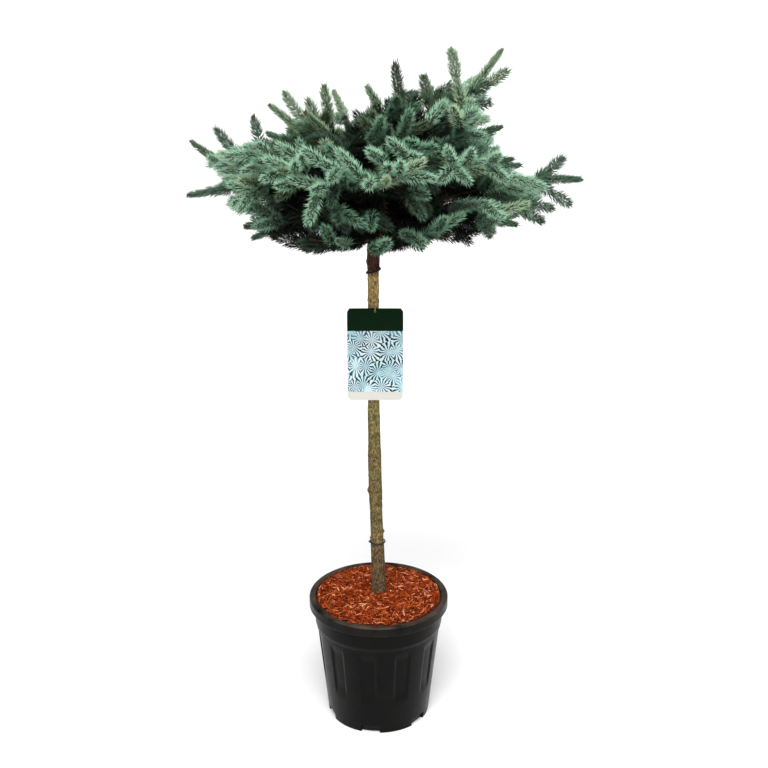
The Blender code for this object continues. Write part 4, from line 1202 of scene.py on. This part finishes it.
def make_chips():
    """Bark chips as flat splinters of two rings of four, strewn evenly over the bed and tilted a little.

    Radius = sqrt(hole^2 + (outer^2 - hole^2) * even share), turn = golden angle * number,
    so that they lie evenly. Each is long, narrow and thin by its own chance.
    """
    dice = np.random.default_rng(33)
    i = np.arange(CHIPS)
    length = dice.gamma(7.0, 0.0017, CHIPS).clip(*CHIP_LENGTHS)
    wide = dice.uniform(*CHIP_WIDTHS, CHIPS) * (0.7 + 30 * length)
    thin = dice.uniform(*CHIP_DEPTHS, CHIPS)
    r = np.sqrt(BED_HOLE**2 + ((BED_RADIUS - 0.002) ** 2 - BED_HOLE**2) * (i + 0.5) / CHIPS)
    turn = CHIP_TURN * i + dice.normal(0, 0.05, CHIPS)
    yaw = dice.uniform(0, 2 * np.pi, CHIPS)
    pitch, roll = (dice.normal(0, swing, CHIPS) for swing in CHIP_TILTS)
    # near the wall they lie along it
    near = r > BED_RADIUS - CHIP_BORDER
    yaw = np.where(near, turn + np.pi / 2 + dice.normal(0, 0.2, CHIPS), yaw)
    room = (BED_RADIUS - 0.0012 - r) * 1.6
    most = np.where(near, 0.010, 2 * np.sqrt(np.maximum(room, 1e-6) * 0.02) + 0.006)
    length = np.minimum(length, most)
    share = (r - BED_HOLE) / (BED_RADIUS - BED_HOLE)
    z = MULCH_TOP - 0.002 + MULCH_DOME * (1 - share**2) + dice.uniform(0, 0.0045, CHIPS)
    centre = turned(r, turn, z)
    ahead = turned(np.cos(pitch), yaw, np.sin(pitch))
    level = unit(np.cross(AZ, ahead))
    side = np.cos(roll)[:, None] * level + np.sin(roll)[:, None] * np.cross(ahead, level)
    up = np.cross(ahead, side)
    centres = centre[:, None] + scaled(ahead, length[:, None] * CHIP_RINGS)
    centres = centres + scaled(up, dice.normal(0, 0.0004, (CHIPS, 2)))
    # a flat four-cornered ring: its side vector carries the width, its upper one the thickness
    wide_side = scaled(side, wide[:, None] * dice.uniform(0.6, 1.0, (CHIPS, 2)))
    thin_up = scaled(up, thin[:, None] * dice.uniform(0.7, 1.0, (CHIPS, 2)))
    half = ahead * length[:, None] * 0.5
    ends = centre - half, centre + half
    points, *faces = tubes(centres, wide_side, thin_up, np.ones((CHIPS, 2)), *ends, 4)
    shade = per_face(dice.choice(len(CHIP_SHADES), CHIPS, p=CHIP_SHARES), *faces)
    chips = []
    for n, code in enumerate(CHIP_SHADES):
        chips.append(finish(f"pine_bark_chip_{n}", code, Roughness=0.85, Specular_IOR_Level=0.12))
    piece("mulch_chips", points, faces, chips, shade, slot="mulch", smooth=False)


def dress_soil():
    """The soil stays the CAD solid: dark crumbs of peat."""
    peat = finish("moist_peat", "#2a1d14", Roughness=0.95)
    grained(peat, ((0.35, "#150d08"), (0.60, "#33241a")), 0.8, 0.002, Scale=300.0, Detail=6.0)
    bpy.data.objects["potting_soil"].material_slots[0].material = peat


# ---- label


def make_label():
    """The card: one strip of front outline, back outline, back hole and front hole, closed on itself.

    The outline is a rounded rectangle: along the ray at turn a from the middle, the
    edge lies where |x / half width|^28 + |z / half height|^28 = 1.
    """
    columns = 96
    angle = 2 * np.pi * (np.arange(columns) + 0.5) / columns
    c, s = np.cos(angle), np.sin(angle)
    half = LABEL_WIDTH / 2, LABEL_HEIGHT / 2
    squared = np.abs(c / half[0]) ** LABEL_SQUARE + np.abs(s / half[1]) ** LABEL_SQUARE
    stretch = squared ** (-1 / LABEL_SQUARE)
    edge = LABEL_X + stretch * c, LABEL_TOP - half[1] + stretch * s
    hole = LABEL_X + HOLE_RADIUS * c, LABEL_TOP - HOLE_DROP + HOLE_RADIUS * s
    loops = (edge, LABEL_FRONT), (edge, LABEL_BACK), (hole, LABEL_BACK), (hole, LABEL_FRONT)
    skin = np.concatenate([np.stack([x, np.full(columns, y), z], -1) for (x, z), y in loops])
    card = {"node_names": ["care_label"], "slot": "label_card", "smooth": False}
    piece("care_label", skin, [grid(4, columns, close_rows=True)], [label_print()], **card)


def label_print():
    """Printed synthetic paper: a dark green head, bursts of frosted rays below, a bare cream foot.

    Bursts are cells 26 mm across on a plane scaled by 38 to the metre. In each, rays
    run out from its own centre: their brightness follows the sine of 14 turns, bent by noise.
    """
    material = finish("printed_synthetic_paper", "#e4e5de", Roughness=0.6, Specular_IOR_Level=0.04)
    tree = material.node_tree
    place = node(tree, "TexCoord", out="Object")
    x, y, z = node(tree, "SeparateXYZ", place, out=("X", "Y", "Z"))
    wide, high = (node(tree, "Math", way, BURSTS, operation="MULTIPLY") for way in (x, z))
    flat = node(tree, "CombineXYZ", wide, high)
    found = "Distance", "Color", "Position"
    distance, tone, centre = node(tree, "TexVoronoi", flat, Scale=1.0, voronoi_dimensions="2D", out=found)
    away = node(tree, "VectorMath", flat, centre, operation="SUBTRACT")
    off_x, off_y = node(tree, "SeparateXYZ", away, out=("X", "Y"))
    turn = node(tree, "Math", off_y, off_x, operation="ARCTAN2")
    shake = node(tree, "TexNoise", flat, Scale=2.0, Detail=2.0)
    shake = node(tree, "Math", shake, RAY_SHAKE, operation="MULTIPLY")
    rays = node(tree, "Math", turn, RAYS, shake, operation="MULTIPLY_ADD")
    rays = node(tree, "MapRange", node(tree, "Math", rays, operation="SINE"), -0.45, 0.25)
    deep = node(tree, "TexNoise", flat, Scale=0.75, Detail=2.0)
    fall = node(tree, "Math", distance, 0.38, deep, operation="MULTIPLY_ADD")
    dark = node(tree, "ValToRGB", fall, stops=LABEL_GAPS)
    pale = node(tree, "ValToRGB", node(tree, "SeparateXYZ", tone, out="X"), stops=LABEL_RAYS)
    head = node(tree, "Math", z, LABEL_HEAD, operation="GREATER_THAN")
    foot = node(tree, "Math", z, LABEL_FOOT, operation="LESS_THAN")
    back = node(tree, "Math", y, (LABEL_FRONT + LABEL_BACK) / 2, operation="GREATER_THAN")
    colour = dark
    plain = (linear(code) for code in ("#061d0c", "#bfbdb6", "#c4c2bd"))
    for share, layer in zip((rays, head, foot, back), (pale, *plain)):
        colour = node(tree, "Mix", share, A_Color=colour, B_Color=layer, data_type="RGBA", out=2)
    coat(material, Base_Color=colour)
    return material


def string_path():
    """The string's closed loop: behind the stem, through the hole and over the card's top edge."""
    centre, radius = stem_at(LABEL_TOP + STRING_RISE)
    radius += STRING_RADIUS + GAP
    x, y, z = centre
    path = turned(radius, np.radians(np.linspace(222, -20, 24)), z, x, y)
    reach = STRING_RADIUS + GAP
    behind, ahead = LABEL_BACK + reach, LABEL_FRONT - reach
    hole = LABEL_TOP - HOLE_DROP + HOLE_RADIUS - reach - GAP
    front = (
        (0.0075, -0.0092, LABEL_TOP + 0.0090),
        (0.0025, -0.0118, LABEL_TOP + 0.0050),
        (0.0000, ahead + 0.0002, LABEL_TOP + 0.0016),
        (0.0000, ahead, LABEL_TOP - 0.0008),
        (0.0000, ahead, hole + 0.0004),
        (0.0000, (LABEL_FRONT + LABEL_BACK) / 2, hole),
        (0.0000, behind, hole + 0.0004),
        (-0.0015, behind + 0.0004, LABEL_TOP + 0.0010),
        (-0.0085, -0.0108, LABEL_TOP + 0.0080),
    )
    return np.concatenate([path, front + LABEL_X * AX])


def loop(path, radius, sides):
    """A closed round bar along a closed path, its frame from a fixed upper direction."""
    ahead = unit(np.roll(path, -1, 0) - np.roll(path, 1, 0))
    side = unit(np.cross(ahead, AZ + 0.2 * AY))
    skin = ring_points(path, np.full(len(path), radius), np.cross(side, ahead), side, sides)
    return skin.reshape(-1, 3), grid(len(path), sides, close_rows=True)


def make_string():
    """Twisted jute: a thin round loop."""
    jute = finish("jute_string", "#b09a68", Roughness=0.9)
    points, faces = loop(string_path(), STRING_RADIUS, 8)
    piece("label_string", points, [faces], [jute], node_names=["label_string"], slot="label_string")


def make_ties():
    """Hollow vinyl tie tubes round the stem, each a tilted ring with its knot as a second short tube."""
    vinyl = finish("dark_vinyl_tie", "#0f110e", Roughness=0.5, Specular_IOR_Level=0.3)
    turn = even_turns(64)
    for name, height, thickness, slope, *knot in TIES:
        centre, radius = stem_at(height)
        bar = thickness / 2
        r = radius + bar + 2 * GAP
        x, y, z = centre
        points, faces = loop(turned(r, turn, z + slope * r * np.cos(turn), x, y), bar, 12)
        foot, tip = centre + np.array(knot)
        side, up = frame_of(unit(tip - foot))
        spots = (foot + (tip - foot) * np.array([0.0, 0.12, 0.5, 0.88, 1.0])[:, None])[None]
        radii = bar * np.array([[0.6, 1.05, 1.1, 1.05, 0.6]])
        more, *ends = tubes(spots, up[None, None], side[None, None], radii, foot[None], tip[None], 12)
        faces = [faces] + [f + len(points) for f in ends]
        points = np.concatenate([points, more])
        piece(name + "_vinyl", points, faces, [vinyl], node_names=[name], slot="tie")


# ---- stage


def set_camera():
    """A camera a little above the crown, looking down to the pot."""
    lens = bpy.data.cameras.new("camera")
    lens.lens = CAMERA_LENS
    lens.sensor_width = CAMERA_SENSOR
    camera = bpy.data.objects.new("camera", lens)
    camera.location = CAMERA_PLACE
    camera.rotation_euler = (CAMERA_PITCH, 0.0, 0.0)
    bpy.context.scene.collection.objects.link(camera)
    bpy.context.scene.camera = camera


def set_stage():
    """A wide pale floor, a white sky, and soft suns: high in front, overhead and from the right."""
    scene = bpy.context.scene
    corners = [(x * FLOOR_HALF, y * FLOOR_HALF, 0) for x, y in ((-1, -1), (1, -1), (1, 1), (-1, 1))]
    mesh = bpy.data.meshes.new("studio_floor")
    mesh.from_pydata(corners, [], [(0, 1, 2, 3)])
    mesh.materials.append(finish("white_studio_floor", "#e2e2e2", Roughness=0.9))
    floor = bpy.data.objects.new("studio_floor", mesh)
    scene.collection.objects.link(floor)
    world = bpy.data.worlds.new("white_sky")
    world.use_nodes = True
    tree = world.node_tree
    background = tree.nodes["Background"]
    background.inputs["Color"].default_value = (1.0, 1.0, 1.0, 1.0)
    # white round the horizon, dimmer overhead
    rise = node(tree, "SeparateXYZ", node(tree, "TexCoord", out="Generated"), out="Z")
    glow = node(tree, "MapRange", rise, 0.10, 0.40, 1.0, 0.25, interpolation_type="SMOOTHSTEP")
    tree.links.new(glow, background.inputs["Strength"])
    scene.world = world
    for name, tilt, turn, spread, power in SUNS:
        light = bpy.data.lights.new(name, "SUN")
        light.energy = power
        light.angle = math.radians(spread)
        sun = bpy.data.objects.new(name, light)
        sun.rotation_euler = (math.radians(tilt), 0.0, math.radians(turn))
        scene.collection.objects.link(sun)
    scene.view_settings.view_transform = "Standard"


def main():
    set_camera()
    lines = limb_lines()
    grown = grow_inner(grow_finer(grow_crown(lines), lines), lines)
    make_needles(grown, painted_shade_of(grown, np.random.default_rng(FINE_SEED)))
    make_twigs(grown)
    make_buds(grown)
    make_trunk()
    make_boughs()
    make_pot()
    make_mulch()
    make_chips()
    dress_soil()
    make_label()
    make_string()
    make_ties()
    set_stage()


main()
